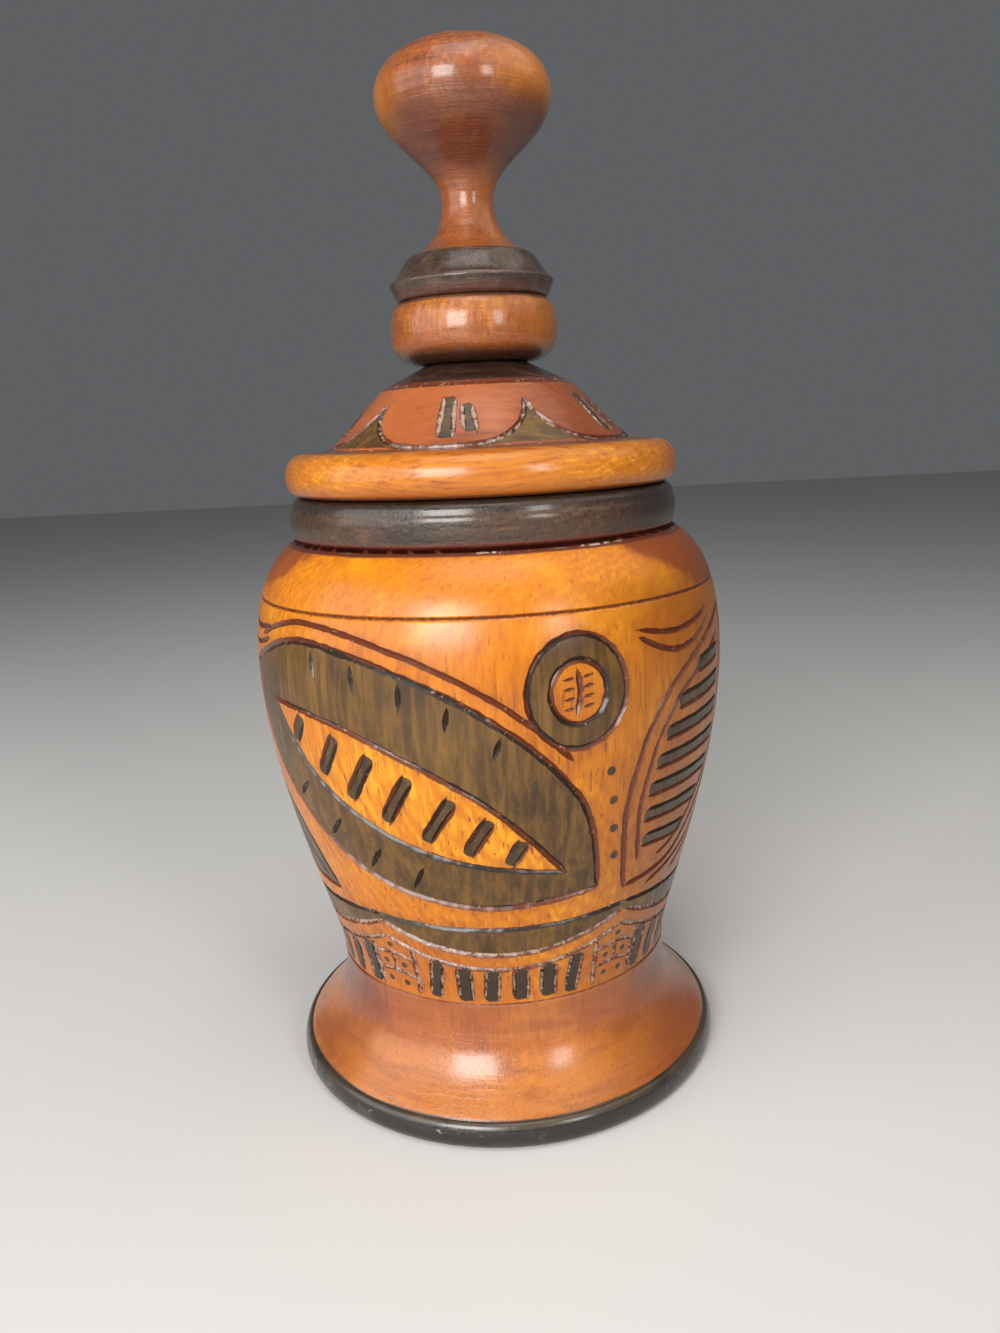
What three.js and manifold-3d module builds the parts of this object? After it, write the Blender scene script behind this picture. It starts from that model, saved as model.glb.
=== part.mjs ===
// A turned wooden jar with a lift-off lid: a hollow belly on a flared foot, a dark ring round
// the mouth, and a domed lid that carries a turned finial. Every piece is a turning about Z.
// Millimetres, +Z up. The origin is the centre of the flat underside.
import * as THREE from "three";
import { mergeVertices } from "three/addons/utils/BufferGeometryUtils.js";
import Module from "manifold-3d";

const wasm = await Module();
wasm.setup();

// Foot: a dark rounded ring at the base, and a flare that sweeps up to the waist
const footRadius = 96.4;
const footHeight = 51;
const baseRingHeight = 11.4;
const baseRingRise = 4.4;
const baseRingEdge = 3.6;
const waistRadius = 73.8;
const waistDrop = 5;
const jointFlare = 0.4;
const seamChamfer = 0.8;

// Belly: its outside from the waist line to the mouth, its wall, floor and tenon
const bellyHeight = 185.8;
const bellyRadius = 100.3;
const bellyWidestBelowTop = 52.8;
const bellyTopRadius = 81;
const shoulderScoreDrop = 22.4;
const wall = 12;
const floorThickness = 13;
const floorCorner = 16;
const tenonRadius = 45;
const tenonLength = 20;

// Dark ring round the mouth
const neckRadius = 81.9;
const neckHeight = 17.2;
const neckEdge = 4.4;
const neckBulge = 0.9;
const neckGroove = 1.6;
const mouthRadius = 66;

// Lid: a half-round rim, a nearly flat ledge, a carved dome with a flatter crown, and a spigot
const rimRadius = 82.4;
const rimHeight = 17.1;
const rimRise = 7.7;
const rimEdge = 6;
const ledgeWidth = 10.6;
const ledgeRise = 0.9;
const domeFootRadius = 63.8;
const domeHeight = 23.9;
const crownRadius = 39;
const crownHeight = 8.6;
const seatRadius = 21;
const spigotDepth = 12;
const spigotFillet = 3;

// Finial: a turned ring, then a collar, stem and ball turned in one, on a hidden dowel
const beadRadius = 34.6;
const beadHeight = 24.8;
const beadRise = 13.2;
const beadTopRadius = 30.4;
const collarRadius = 33.9;
const collarRise = 6.8;
const collarHeight = 17.8;
const collarTopRadius = 24.2;
const stemRadius = 10.5;
const stemHeight = 38;
const ballRadius = 35.3;
const ballWidestBelowTop = 20.2;
const knobHeight = 97;
const dowelRadius = 6;
const dowelInLid = 22;
const dowelInKnob = 26;

// Lines scored round the belly and the dome
const scoreWidth = 2.4;
const scoreDepth = 1.1;

// Carving: gouge cuts that bound a band of hanging waves, two panels of leaves, and two strips
const cutWidth = 2.6;
const cutDepth = 1.2;
const cutStep = 19;
const ringSteps = 10;
const cutEnd = 0.4;
const waves = 5;
const waveStart = 17.5;
const waveLift = 12;
const waveBand = 7.5;
const bandHeight = 39;
const bandLift = 2.6;
const panels = 2;
const stripWidth = 22;
const stripMargin = 3;

// Clearances
const glueGap = 0.3;
const lidGap = 0.3;
const spigotGap = 1.4;

// Facets round each turning
const bodySides = 36;
const finialSides = 28;
const dowelSides = 12;

// Heights that follow from the sizes above
const bellyTop = footHeight + bellyHeight;
const neckTop = bellyTop + neckHeight;
const lidBase = neckTop + lidGap;
const rimTop = lidBase + rimHeight;
const domeFoot = rimTop + ledgeRise;
const domeTop = domeFoot + domeHeight;
const lidTop = domeTop + crownHeight;
const beadTop = lidTop + beadHeight;
const collarTop = beadTop + collarHeight;
const stemMiddle = beadTop + stemHeight;
const knobTop = beadTop + knobHeight;

// How far the handles of a rounded stretch reach: a quarter circle, and two fuller rounds
const circular = 0.55;
const full = 0.6;
const squarish = 0.66;

const point = (radius, height) => new THREE.Vector2(radius, height);

// One swept stretch of an outline: a cubic curve between two points with a handle at each end
function sweep(start, startHandle, endHandle, end, steps) {
  return new THREE.CubicBezierCurve(start, startHandle, endHandle, end).getPoints(steps);
}

// A rounded stretch that leaves its start upright and meets its end lying flat
function shoulder(start, end, fullness, steps) {
  const startHandle = point(start.x, start.y + (end.y - start.y) * fullness);
  const endHandle = point(end.x + (start.x - end.x) * fullness, end.y);
  return sweep(start, startHandle, endHandle, end, steps);
}

// The same stretch the other way: it leaves its start lying flat and ends upright
function undercut(start, end, fullness, steps) {
  return shoulder(end, start, fullness, steps).reverse();
}

// An outline that climbs all the way, with a V cut into it at a height
function scored(points, height) {
  const at = (level) => {
    const next = points.findIndex((here) => here.y > level);
    const share = (level - points[next - 1].y) / (points[next].y - points[next - 1].y);
    return points[next - 1].clone().lerp(points[next], share);
  };
  const lip = at(height - scoreWidth / 2);
  const brow = at(height + scoreWidth / 2);
  const bottom = at(height);
  bottom.x -= scoreDepth;
  const below = points.filter((here) => here.y < lip.y);
  const above = points.filter((here) => here.y > brow.y);
  return [...below, lip, bottom, brow, ...above];
}

// The points of an outline shifted square to it, towards the axis
function insetOutline(points, depth) {
  return points.map((here, index) => {
    const before = points[Math.max(index - 1, 0)];
    const after = points[Math.min(index + 1, points.length - 1)];
    const along = after.clone().sub(before).normalize();
    return point(here.x - along.y * depth, here.y + along.x * depth);
  });
}

// Stretches of outline put end to end, without points that repeat the one before them
function joined(...stretches) {
  const points = [];
  for (const next of stretches.flat()) {
    const last = points[points.length - 1];
    if (!last || last.distanceTo(next) > 0.01) points.push(next);
  }
  return points;
}

const object = new THREE.Group();

// Turn a closed outline about Z. The outline runs up the outside and back down the inside.
function turning(outline, sides) {
  return new THREE.LatheGeometry(outline, sides).rotateX(Math.PI / 2);
}

function addPart(name, geometry, material) {
  const mesh = new THREE.Mesh(geometry, material);
  mesh.name = name;
  object.add(mesh);
}

function turn(name, outline, sides, material) {
  addPart(name, turning(outline, sides), material);
}

// A closed geometry as a solid that can be cut
function toSolid(geometry) {
  geometry.deleteAttribute("normal");
  geometry.deleteAttribute("uv");
  const merged = mergeVertices(geometry);
  const corners = merged.index.array;
  const kept = [];
  for (let i = 0; i < corners.length; i += 3) {
    const [a, b, c] = corners.slice(i, i + 3);
    if (a !== b && b !== c && c !== a) kept.push(a, b, c);
  }
  const vertProperties = merged.attributes.position.array;
  const triVerts = Uint32Array.from(kept);
  return new wasm.Manifold(new wasm.Mesh({ numProp: 3, vertProperties, triVerts }));
}

function toGeometry(solid) {
  const { vertProperties, triVerts } = solid.getMesh();
  const geometry = new THREE.BufferGeometry();
  geometry.setAttribute("position", new THREE.BufferAttribute(vertProperties, 3));
  geometry.setIndex(new THREE.BufferAttribute(triVerts, 1));
  geometry.computeVertexNormals();
  return geometry;
}

// A place on a faceted wall, from a turn in radians from the front and a height, with the way out
function onWall(outline, sides, angle, height) {
  const next = Math.max(outline.findIndex((here) => here.y > height), 1);
  const [low, high] = [outline[next - 1], outline[next]];
  const share = (height - low.y) / (high.y - low.y);
  const facet = (2 * Math.PI) / sides;
  const offCentre = angle - (Math.floor(angle / facet) + 0.5) * facet;
  const flat = Math.cos(facet / 2) / Math.cos(offCentre);
  const radius = (low.x + (high.x - low.x) * share) * flat;
  const along = high.clone().sub(low).normalize();
  const out = new THREE.Vector3(Math.sin(angle) * along.y, -Math.cos(angle) * along.y, -along.x);
  const place = new THREE.Vector3(Math.sin(angle) * radius, -Math.cos(angle) * radius, height);
  return { place, out };
}

// A V-shaped gouge cut along a path of places on a wall. An open cut runs out at its ends.
function gouge(path, closed) {
  const count = path.length;
  const positions = [];
  path.forEach(({ place, out }, index) => {
    const before = path[closed ? (index + count - 1) % count : Math.max(index - 1, 0)].place;
    const after = path[closed ? (index + 1) % count : Math.min(index + 1, count - 1)].place;
    const along = after.clone().sub(before).normalize();
    const side = out.clone().cross(along).normalize();
    const isEnd = !closed && (index === 0 || index === count - 1);
    const depth = isEnd ? cutDepth * cutEnd : cutDepth;
    const reach = (cutWidth / 2) * (isEnd ? cutEnd : 1) * (1 + cutDepth / depth);
    const top = place.clone().addScaledVector(out, cutDepth);
    const left = top.clone().addScaledVector(side, reach);
    const right = top.clone().addScaledVector(side, -reach);
    const bottom = place.clone().addScaledVector(out, -depth);
    positions.push(...left, ...bottom, ...right);
  });
  const index = [];
  const spans = closed ? count : count - 1;
  for (let i = 0; i < spans; i += 1) {
    const here = 3 * i;
    const next = 3 * ((i + 1) % count);
    for (let k = 0; k < 3; k += 1) {
      const m = (k + 1) % 3;
      index.push(here + k, next + m, here + m, here + k, next + k, next + m);
    }
  }
  if (!closed) {
    const last = 3 * (count - 1);
    index.push(0, 1, 2, last, last + 2, last + 1);
  }
  const geometry = new THREE.BufferGeometry();
  geometry.setAttribute("position", new THREE.Float32BufferAttribute(positions, 3));
  geometry.setIndex(index);
  return toSolid(geometry);
}

const wood = (color, roughness) =>
  new THREE.MeshStandardMaterial({ color, roughness, metalness: 0 });
const amberWood = wood(0xc97a22, 0.3);
const redWood = wood(0xa8552a, 0.35);
const darkWood = wood(0x2c1d15, 0.25);
const rimWood = wood(0xc07a24, 0.3);
const beadWood = wood(0xa9561f, 0.3);
const knobWood = wood(0x9c4c26, 0.35);
const paleWood = wood(0xc8a06a, 0.7);

const jointRadius = waistRadius + jointFlare;

function makeFoot() {
  const socketRadius = tenonRadius + glueGap;
  const socketFloor = footHeight - tenonLength - glueGap;
  const underside = point(footRadius - baseRingEdge, 0);
  const widest = point(footRadius, baseRingRise);
  const flareStart = point(footRadius - baseRingEdge, baseRingHeight);
  const waist = point(waistRadius, footHeight - waistDrop);
  const flareWidth = flareStart.x - waist.x;
  const flareHeight = waist.y - flareStart.y;
  const lowHandle = point(flareStart.x - flareWidth * 0.42, flareStart.y + flareHeight * 0.23);
  const topHandle = point(waist.x, waist.y - flareHeight * 0.53);
  const outline = joined(
    [point(0, 0)],
    undercut(underside, widest, circular, 3),
    shoulder(widest, flareStart, circular, 3),
    sweep(flareStart, lowHandle, topHandle, waist, 9),
    [point(jointRadius, footHeight - seamChamfer)],
    [point(jointRadius - seamChamfer, footHeight)],
    [point(socketRadius, footHeight)],
    [point(socketRadius, socketFloor)],
    [point(0, socketFloor)],
  );
  turn("foot", outline, bodySides, redWood);
}

// Leaves and a shell, each edge through a few points. A point is a share of the panel's width
// from its middle, and a share of its height.
const greatLeaf = [
  [[-0.409, 0.804], [-0.248, 0.916], [-0.047, 0.772], [0.1, 0.45], [0.141, 0.105]],
  [[-0.409, 0.804], [-0.355, 0.482], [-0.214, 0.201], [-0.04, 0.08], [0.141, 0.105]],
];
const midrib = [
  [[-0.328, 0.715], [-0.181, 0.659], [-0.027, 0.466], [0.09, 0.185]],
  [[-0.328, 0.715], [-0.241, 0.466], [-0.094, 0.273], [0.09, 0.185]],
];
const uprightLeaf = [
  [[0.188, 0.072], [0.174, 0.4], [0.235, 0.723], [0.402, 0.924]],
  [[0.188, 0.072], [0.308, 0.145], [0.409, 0.45], [0.402, 0.924]],
];
const lowLeaf = [
  [[-0.281, 0.056], [-0.348, 0.27], [-0.446, 0.418]],
  [[-0.281, 0.056], [-0.402, 0.096], [-0.446, 0.418]],
];
const shellPlace = [0.1, 0.77];
const shellSize = [0.062, 0.16];

// The gouge cuts round the belly's outside
function bellyCuts(outside) {
  const girthRadius = bellyRadius;
  const bandTop = footHeight + bandHeight;
  const panelHeight = bellyTop - shoulderScoreDrop - bandTop;
  const panelTurn = (2 * Math.PI) / panels;
  const wallAt = (angle, height) => onWall(outside, bodySides, angle, height);
  const cuts = [];

  function cutThrough(points, closed = false) {
    const curve = new THREE.CatmullRomCurve3(
      points.map(([angle, height]) => new THREE.Vector3(angle * girthRadius, height, 0)),
      closed,
      "centripetal",
    );
    const leastSteps = closed ? ringSteps : 3;
    const steps = Math.max(leastSteps, Math.round(curve.getLength() / cutStep));
    const path = curve.getSpacedPoints(steps);
    if (closed) path.pop();
    cuts.push(gouge(path.map((here) => wallAt(here.x / girthRadius, here.y)), closed));
  }

  // Three lines right round: two that hang in waves, and a nearly level one that closes the band
  const stepsRound = waves * Math.round((2 * Math.PI * girthRadius) / waves / cutStep);
  function waveLine(base, lift) {
    const path = [];
    for (let i = 0; i < stepsRound; i += 1) {
      const share = i / stepsRound;
      const swing = Math.abs(((share * waves) % 1) * 2 - 1);
      path.push(wallAt((share - 0.5) * 2 * Math.PI, base + lift * swing ** 2));
    }
    cuts.push(gouge(path, true));
  }
  waveLine(footHeight + waveStart, waveLift);
  waveLine(footHeight + waveStart + waveBand, waveLift);
  waveLine(bandTop - bandLift / 2, bandLift);

  for (let panel = 0; panel < panels; panel += 1) {
    const middle = panel * panelTurn;
    const spot = ([across, up]) => [middle + across * panelTurn, bandTop + up * panelHeight];
    for (const leaf of [greatLeaf, midrib, uprightLeaf, lowLeaf]) {
      for (const edge of leaf) cutThrough(edge.map(spot));
    }
    const ring = [0, 1, 2, 3, 4, 5, 6, 7].map((i) => {
      const across = shellPlace[0] + shellSize[0] * Math.cos((i * Math.PI) / 4);
      return spot([across, shellPlace[1] + shellSize[1] * Math.sin((i * Math.PI) / 4)]);
    });
    cutThrough(ring, true);
    for (const side of [-1, 1]) {
      const edge = middle + panelTurn / 2 + (side * stripWidth) / 2 / girthRadius;
      cutThrough([[edge, bandTop + stripMargin], [edge, bandTop + panelHeight - stripMargin]]);
    }
  }
  return cuts;
}

function makeBelly() {
  const start = point(jointRadius, footHeight + seamChamfer);
  const widest = point(bellyRadius, bellyTop - bellyWidestBelowTop);
  const end = point(bellyTopRadius, bellyTop - neckGroove / 2);
  const rise = widest.y - start.y;
  const fall = end.y - widest.y;
  const startHandle = point(start.x, start.y + rise * 0.11);
  const lowHandle = point(widest.x, widest.y - rise * 0.4);
  const highHandle = point(widest.x, widest.y + fall * 0.49);
  const endHandle = point(end.x + (widest.x - end.x) * 0.7, end.y - fall * 0.14);
  const outside = joined(
    sweep(start, startHandle, lowHandle, widest, 12),
    sweep(widest, highHandle, endHandle, end, 8),
  );
  const floor = footHeight + floorThickness;
  const cornerTop = floor + floorCorner;
  const isSide = (here) => here.y > cornerTop && here.y < widest.y;
  const isShoulder = (here) => here.y >= widest.y && here.y < bellyTop && here.x > mouthRadius;
  const inside = insetOutline(outside, wall).filter((here) => isSide(here) || isShoulder(here));
  const corner = inside[0].clone().setY(cornerTop);
  const outline = joined(
    [point(0, footHeight - tenonLength)],
    [point(tenonRadius, footHeight - tenonLength)],
    [point(tenonRadius, footHeight)],
    [point(jointRadius - seamChamfer, footHeight)],
    scored(outside, bellyTop - shoulderScoreDrop),
    [point(bellyTopRadius - neckGroove, bellyTop)],
    [point(mouthRadius, bellyTop)],
    inside.reverse(),
    shoulder(corner, point(corner.x - floorCorner, floor), circular, 4),
    [point(0, floor)],
  );
  let solid = toSolid(turning(outline, bodySides));
  for (const cut of bellyCuts(outside)) solid = solid.subtract(cut);
  addPart("belly", toGeometry(solid), amberWood);
}

function makeNeckRing() {
  const middle = (bellyTop + neckTop) / 2;
  const side = neckRadius - neckBulge;
  const lowEdge = point(bellyTopRadius - neckGroove, bellyTop);
  const topEdge = point(side - neckEdge, neckTop);
  const outline = [
    point(mouthRadius, bellyTop),
    ...undercut(lowEdge, point(side, bellyTop + neckGroove), circular, 2),
    point(neckRadius, middle),
    ...shoulder(point(side, neckTop - neckEdge), topEdge, circular, 3),
    point(mouthRadius, neckTop),
    point(mouthRadius, bellyTop),
  ];
  turn("neck_ring", outline, bodySides, darkWood);
}

function makeLid() {
  const spigotRadius = mouthRadius - spigotGap;
  const spigotBase = lidBase - spigotDepth;
  const boreRadius = dowelRadius + glueGap;
  const boreFloor = lidTop - dowelInLid;
  const ledgeEdge = point(domeFootRadius + ledgeWidth, rimTop);
  const handleIn = (domeFootRadius - crownRadius) * 0.32;
  const handleUp = domeHeight * 0.27;
  const dome = sweep(
    point(domeFootRadius, domeFoot),
    point(domeFootRadius - handleIn, domeFoot + handleUp),
    point(crownRadius + handleIn, domeTop - handleUp),
    point(crownRadius, domeTop),
    5,
  );
  const rimMiddle = point(rimRadius, lidBase + rimRise);
  const spigotCorner = point(spigotRadius, spigotBase + spigotFillet);
  const outline = joined(
    [point(0, spigotBase)],
    undercut(point(spigotRadius - spigotFillet, spigotBase), spigotCorner, circular, 2),
    [point(spigotRadius, lidBase)],
    undercut(point(rimRadius - rimEdge, lidBase), rimMiddle, full, 5),
    shoulder(rimMiddle, ledgeEdge, full, 5),
    scored([...dome, point(seatRadius, lidTop)], domeTop),
    [point(boreRadius, lidTop)],
    [point(boreRadius, boreFloor)],
    [point(0, boreFloor)],
  );
  turn("lid", outline, bodySides, rimWood);
}

function makeFinial() {
  const boreRadius = dowelRadius + glueGap;
  const beadMiddle = point(beadRadius, lidTop + beadRise);
  const bead = joined(
    [point(boreRadius, lidTop)],
    undercut(point(seatRadius, lidTop), beadMiddle, squarish, 6),
    shoulder(beadMiddle, point(beadTopRadius, beadTop), circular, 5),
    [point(boreRadius, beadTop)],
    [point(boreRadius, lidTop)],
  );
  turn("finial_bead", bead, finialSides, beadWood);

  const stem = point(stemRadius, stemMiddle);
  const ballMiddle = point(ballRadius, knobTop - ballWidestBelowTop);
  const ballRise = ballMiddle.y - stem.y;
  const stemDrop = stem.y - collarTop;
  const boreTop = beadTop + dowelInKnob;
  const neckFlare = (collarTopRadius - stem.x) * 0.43;
  const flareHandle = point(stem.x + neckFlare, collarTop + stemDrop * 0.13);
  const stemLowHandle = point(stem.x, stem.y - stemDrop * 0.48);
  const stemHighHandle = point(stem.x, stem.y + ballRise * 0.4);
  const ballHandle = point(ballMiddle.x, ballMiddle.y - ballRise * 0.43);
  const knob = joined(
    [point(boreRadius, beadTop)],
    [point(beadTopRadius, beadTop)],
    [point(collarRadius, beadTop + collarRise)],
    sweep(point(collarTopRadius, collarTop), flareHandle, stemLowHandle, stem, 6),
    sweep(stem, stemHighHandle, ballHandle, ballMiddle, 8),
    shoulder(ballMiddle, point(0, knobTop), full, 8),
    [point(0, boreTop)],
    [point(boreRadius, boreTop)],
    [point(boreRadius, beadTop)],
  );
  turn("finial_knob", knob, finialSides, knobWood);

  const dowelBase = lidTop - dowelInLid;
  const dowelTop = boreTop - glueGap;
  const dowel = [
    point(0, dowelBase),
    point(dowelRadius, dowelBase),
    point(dowelRadius, dowelTop),
    point(0, dowelTop),
  ];
  turn("finial_dowel", dowel, dowelSides, paleWood);
}

makeFoot();
makeBelly();
makeNeckRing();
makeLid();
makeFinial();

export default object;
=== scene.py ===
import math
from functools import reduce

import bpy
import numpy as np
from mathutils import Matrix, Vector, kdtree, noise
from mathutils.geometry import delaunay_2d_cdt


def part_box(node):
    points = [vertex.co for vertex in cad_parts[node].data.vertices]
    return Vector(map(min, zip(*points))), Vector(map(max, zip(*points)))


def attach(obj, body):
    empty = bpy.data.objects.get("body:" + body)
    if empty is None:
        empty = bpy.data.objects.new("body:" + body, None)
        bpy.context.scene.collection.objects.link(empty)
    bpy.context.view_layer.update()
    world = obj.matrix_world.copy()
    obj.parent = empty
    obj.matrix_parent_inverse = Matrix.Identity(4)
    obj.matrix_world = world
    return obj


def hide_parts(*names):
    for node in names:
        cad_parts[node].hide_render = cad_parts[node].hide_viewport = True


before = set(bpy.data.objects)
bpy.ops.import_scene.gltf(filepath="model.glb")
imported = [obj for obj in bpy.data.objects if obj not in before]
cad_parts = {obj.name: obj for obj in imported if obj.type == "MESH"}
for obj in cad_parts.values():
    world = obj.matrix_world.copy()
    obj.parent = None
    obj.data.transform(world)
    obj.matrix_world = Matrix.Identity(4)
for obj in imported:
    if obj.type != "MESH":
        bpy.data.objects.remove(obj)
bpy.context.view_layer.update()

# A turned, carved and lacquered wooden jar. Outlines and carving are worked out in millimetres,
# and meshes are made in metres. The turning axis is Z and the photographed side faces -Y.
MM = 0.001


def reach(node):
    """A node's largest radius, lowest height and highest height, in millimetres."""
    low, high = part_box(node)
    return high.x / MM, low.z / MM, high.z / MM


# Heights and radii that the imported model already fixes
foot_radius, _, waist_line = reach("foot")
belly_radius, tenon_end, belly_top = reach("belly")
neck_radius, _, neck_top = reach("neck_ring")
rim_radius, spigot_end, lid_top = reach("lid")
bead_radius, _, bead_top = reach("finial_bead")
ball_radius, _, knob_top = reach("finial_knob")

# Sizes inside those bounds
WAIST_RADIUS = 73.8
WAIST_DROP = 5.0
JOINT_RADIUS = 74.2
BASE_RING_HEIGHT = 11.4
BASE_RING_RISE = 4.4
BASE_RING_EDGE = 3.6
BELLY_WIDEST_DROP = 52.8
BELLY_TOP_RADIUS = 81.0
SHOULDER_SCORE_DROP = 22.4
WALL = 12.0
LINING_TOP = 180.0
FLOOR_THICKNESS = 13.0
FLOOR_CORNER = 16.0
TENON_RADIUS = 45.0
NECK_GROOVE = 1.6
NECK_EDGE = 4.4
NECK_BULGE = 0.9
MOUTH_RADIUS = 66.0
GAP = 0.3
SPIGOT_RADIUS = 64.6
SPIGOT_EDGE = 3.0
RIM_HEIGHT = 17.1
RIM_RISE = 7.7
RIM_EDGE = 6.0
LEDGE_EDGE_RADIUS = 74.4
LEDGE_RISE = 0.9
DOME_FOOT_RADIUS = 63.8
CROWN_RADIUS = 39.0
CROWN_HEIGHT = 8.6
SEAT_RADIUS = 21.0
BEAD_RISE = 13.2
BEAD_TOP_RADIUS = 29.8
COLLAR_HEIGHT = 17.8
COLLAR_TOP_RADIUS = 24.2
STEM_RADIUS = 10.5
STEM_HEIGHT = 38.0
BALL_WIDEST_DROP = 20.2
BORE_RADIUS = 6.3
LID_BORE = 22.0
KNOB_BORE = 26.0
HUB_RADIUS = 6.0
SEAM_CHAMFER = 0.8
SCORE_WIDTH = 2.0
SCORE_DEPTH = 0.9

# The knob's collar: its underside, its worn edge and its slope, as curves of (radius, height
# above the bead) points, each with its steps
COLLAR_CURVES = (
    (((29.8, 0.0), (32.0, 0.4), (32.7, 4.6), (33.6, 5.9)), 8),
    (((33.6, 5.9), (34.0, 6.4), (34.0, 7.0), (33.2, 7.7)), 4),
    (((33.2, 7.7), (29.8, 10.2), (27.6, 16.2), (25.1, 17.5)), 12),
)

# How finely the turnings are made
BODY_SIDES = 240
FINIAL_SIDES = 160
MERGE_WITHIN = 0.015

# How the turnings run out of round: lobes, pitch and share, then each one's amount and seed. The
# foot, the belly and the neck ring share theirs, so that their seams keep meeting.
LOBES = ((2, 90.0, 0.5), (3, 47.0, 0.3), (5, 31.0, 0.2), (9, 17.0, 0.12))
BODY_SWAY = (0.25, 5.0)
LID_SWAY = (0.22, 14.0)
BEAD_SWAY = (0.2, 20.0)
KNOB_SWAY = (0.2, 27.0)


# Outlines

def sweep(start, start_handle, end_handle, end, steps):
    """A cubic curve between two (radius, height) points, with a handle at each end."""
    knots = (start, start_handle, end_handle, end)
    points = []
    for step in range(steps + 1):
        t = step / steps
        shares = ((1 - t) ** 3, 3 * (1 - t) ** 2 * t, 3 * (1 - t) * t * t, t ** 3)
        points.append(tuple(sum(s * knot[k] for s, knot in zip(shares, knots)) for k in (0, 1)))
    return points


def rounded(start, end, steps, fullness=0.55):
    """A rounded stretch that leaves its start upright and meets its end lying flat."""
    start_handle = (start[0], start[1] + (end[1] - start[1]) * fullness)
    end_handle = (end[0] + (start[0] - end[0]) * fullness, end[1])
    return sweep(start, start_handle, end_handle, end, steps)


def undercut(start, end, steps, fullness=0.55):
    """The same stretch the other way: it leaves its start lying flat and ends upright."""
    return rounded(end, start, steps, fullness)[::-1]


def straight(start, end, steps):
    """A straight stretch with its points spread evenly, so that broad faces stay even."""
    shares = [step / steps for step in range(steps + 1)]
    return [(start[0] + (end[0] - start[0]) * s, start[1] + (end[1] - start[1]) * s) for s in shares]


def scored(outline, height):
    """An outline that climbs all the way, parted in two just below a worn V cut into it."""
    radii, heights = np.array(outline).T
    cut = []
    for offset in (-0.62, -0.5, -0.3, 0.0, 0.3, 0.5, 0.62):
        level = height + offset * SCORE_WIDTH
        depth = max(0.0, 1.0 - abs(offset) / 0.5) * SCORE_DEPTH
        cut.append((float(np.interp(level, heights, radii)) - depth, level))
    below = [p for p in outline if p[1] < cut[0][1] - 0.05] + cut[:1]
    above = cut + [p for p in outline if p[1] > cut[-1][1] + 0.05]
    return below, above


def inset(points, depth):
    """An outline shifted square to itself, towards the axis."""
    shifted = []
    for index, (radius, height) in enumerate(points):
        before = Vector(points[max(index - 1, 0)])
        after = Vector(points[min(index + 1, len(points) - 1)])
        along = (after - before).normalized()
        shifted.append((radius - along.y * depth, height + along.x * depth))
    return shifted


def lathe_marks(points, amount, seed):
    """An outline with the small uneven ridges that a hand-held gouge leaves."""
    return [(radius + amount * noise.noise(Vector((height * 0.9, seed, 0.0))), height)
            for radius, height in points]


def joined(*stretches):
    """Stretches put end to end, without points that repeat the one before them."""
    points = []
    for stretch in stretches:
        for point in stretch:
            if not points or math.dist(points[-1], point) > 0.01:
                points.append(point)
    return points


# Making pieces

def pick(*pieces):
    bpy.ops.object.select_all(action="DESELECT")
    for piece in pieces:
        piece.select_set(True)
    bpy.context.view_layer.objects.active = pieces[0]


def add_object(name, data):
    thing = bpy.data.objects.new(name, data)
    bpy.context.collection.objects.link(thing)
    return thing


def turned(name, outline, sides):
    """Draw an outline in the XZ plane and spin it about Z."""
    curve = bpy.data.curves.new(name, "CURVE")
    curve.dimensions = "3D"
    spline = curve.splines.new("POLY")
    spline.points.add(len(outline) - 1)
    for point, (radius, height) in zip(spline.points, outline):
        point.co = (radius * MM, 0.0, height * MM, 1.0)
    piece = add_object(name, curve)
    pick(piece)
    bpy.ops.object.convert(target="MESH")
    bpy.ops.object.mode_set(mode="EDIT")
    bpy.ops.mesh.select_all(action="SELECT")
    bpy.ops.mesh.spin(steps=sides, angle=2 * math.pi, center=(0, 0, 0), axis=(0, 0, 1))
    bpy.ops.object.mode_set(mode="OBJECT")
    return piece


def places(piece):
    """The places of a piece's vertices, in millimetres, one row each, and their radii."""
    flat = np.zeros(len(piece.data.vertices) * 3, np.float32)
    piece.data.vertices.foreach_get("co", flat)
    rows = flat.reshape(-1, 3) / MM
    return rows, np.hypot(rows[:, 0], rows[:, 1])


def run_out_of_round(piece, amount, seed):
    """Let a turning sway a little, as hand work and shrinking wood leave it."""
    rows, radius = places(piece)
    turn = np.arctan2(rows[:, 0], -rows[:, 1])
    shift = np.zeros(len(rows))
    for lobes, pitch, share in LOBES:
        shift += share * np.sin(lobes * turn + rows[:, 2] / pitch + seed * lobes)
    shift *= amount * np.clip((rows[:, 2] - 0.5) / 3.0, 0.0, 1.0)
    rows[:, :2] *= 1.0 + np.where(radius > 1.0, shift / np.maximum(radius, 1.0), 0.0)[:, None]
    piece.data.vertices.foreach_set("co", (rows * MM).astype(np.float32).ravel())
    piece.data.update()


def close_up(piece, sharp_degrees, sway):
    """Merge what meets, face it all outwards, smooth all but the sharp edges, and let it sway."""
    pick(piece)
    bpy.ops.object.mode_set(mode="EDIT")
    bpy.ops.mesh.select_all(action="SELECT")
    bpy.ops.mesh.remove_doubles(threshold=MERGE_WITHIN * MM)
    bpy.ops.mesh.normals_make_consistent(inside=False)
    bpy.ops.object.mode_set(mode="OBJECT")
    bpy.ops.object.shade_smooth_by_angle(angle=math.radians(sharp_degrees))
    run_out_of_round(piece, *sway)
    return piece


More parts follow.
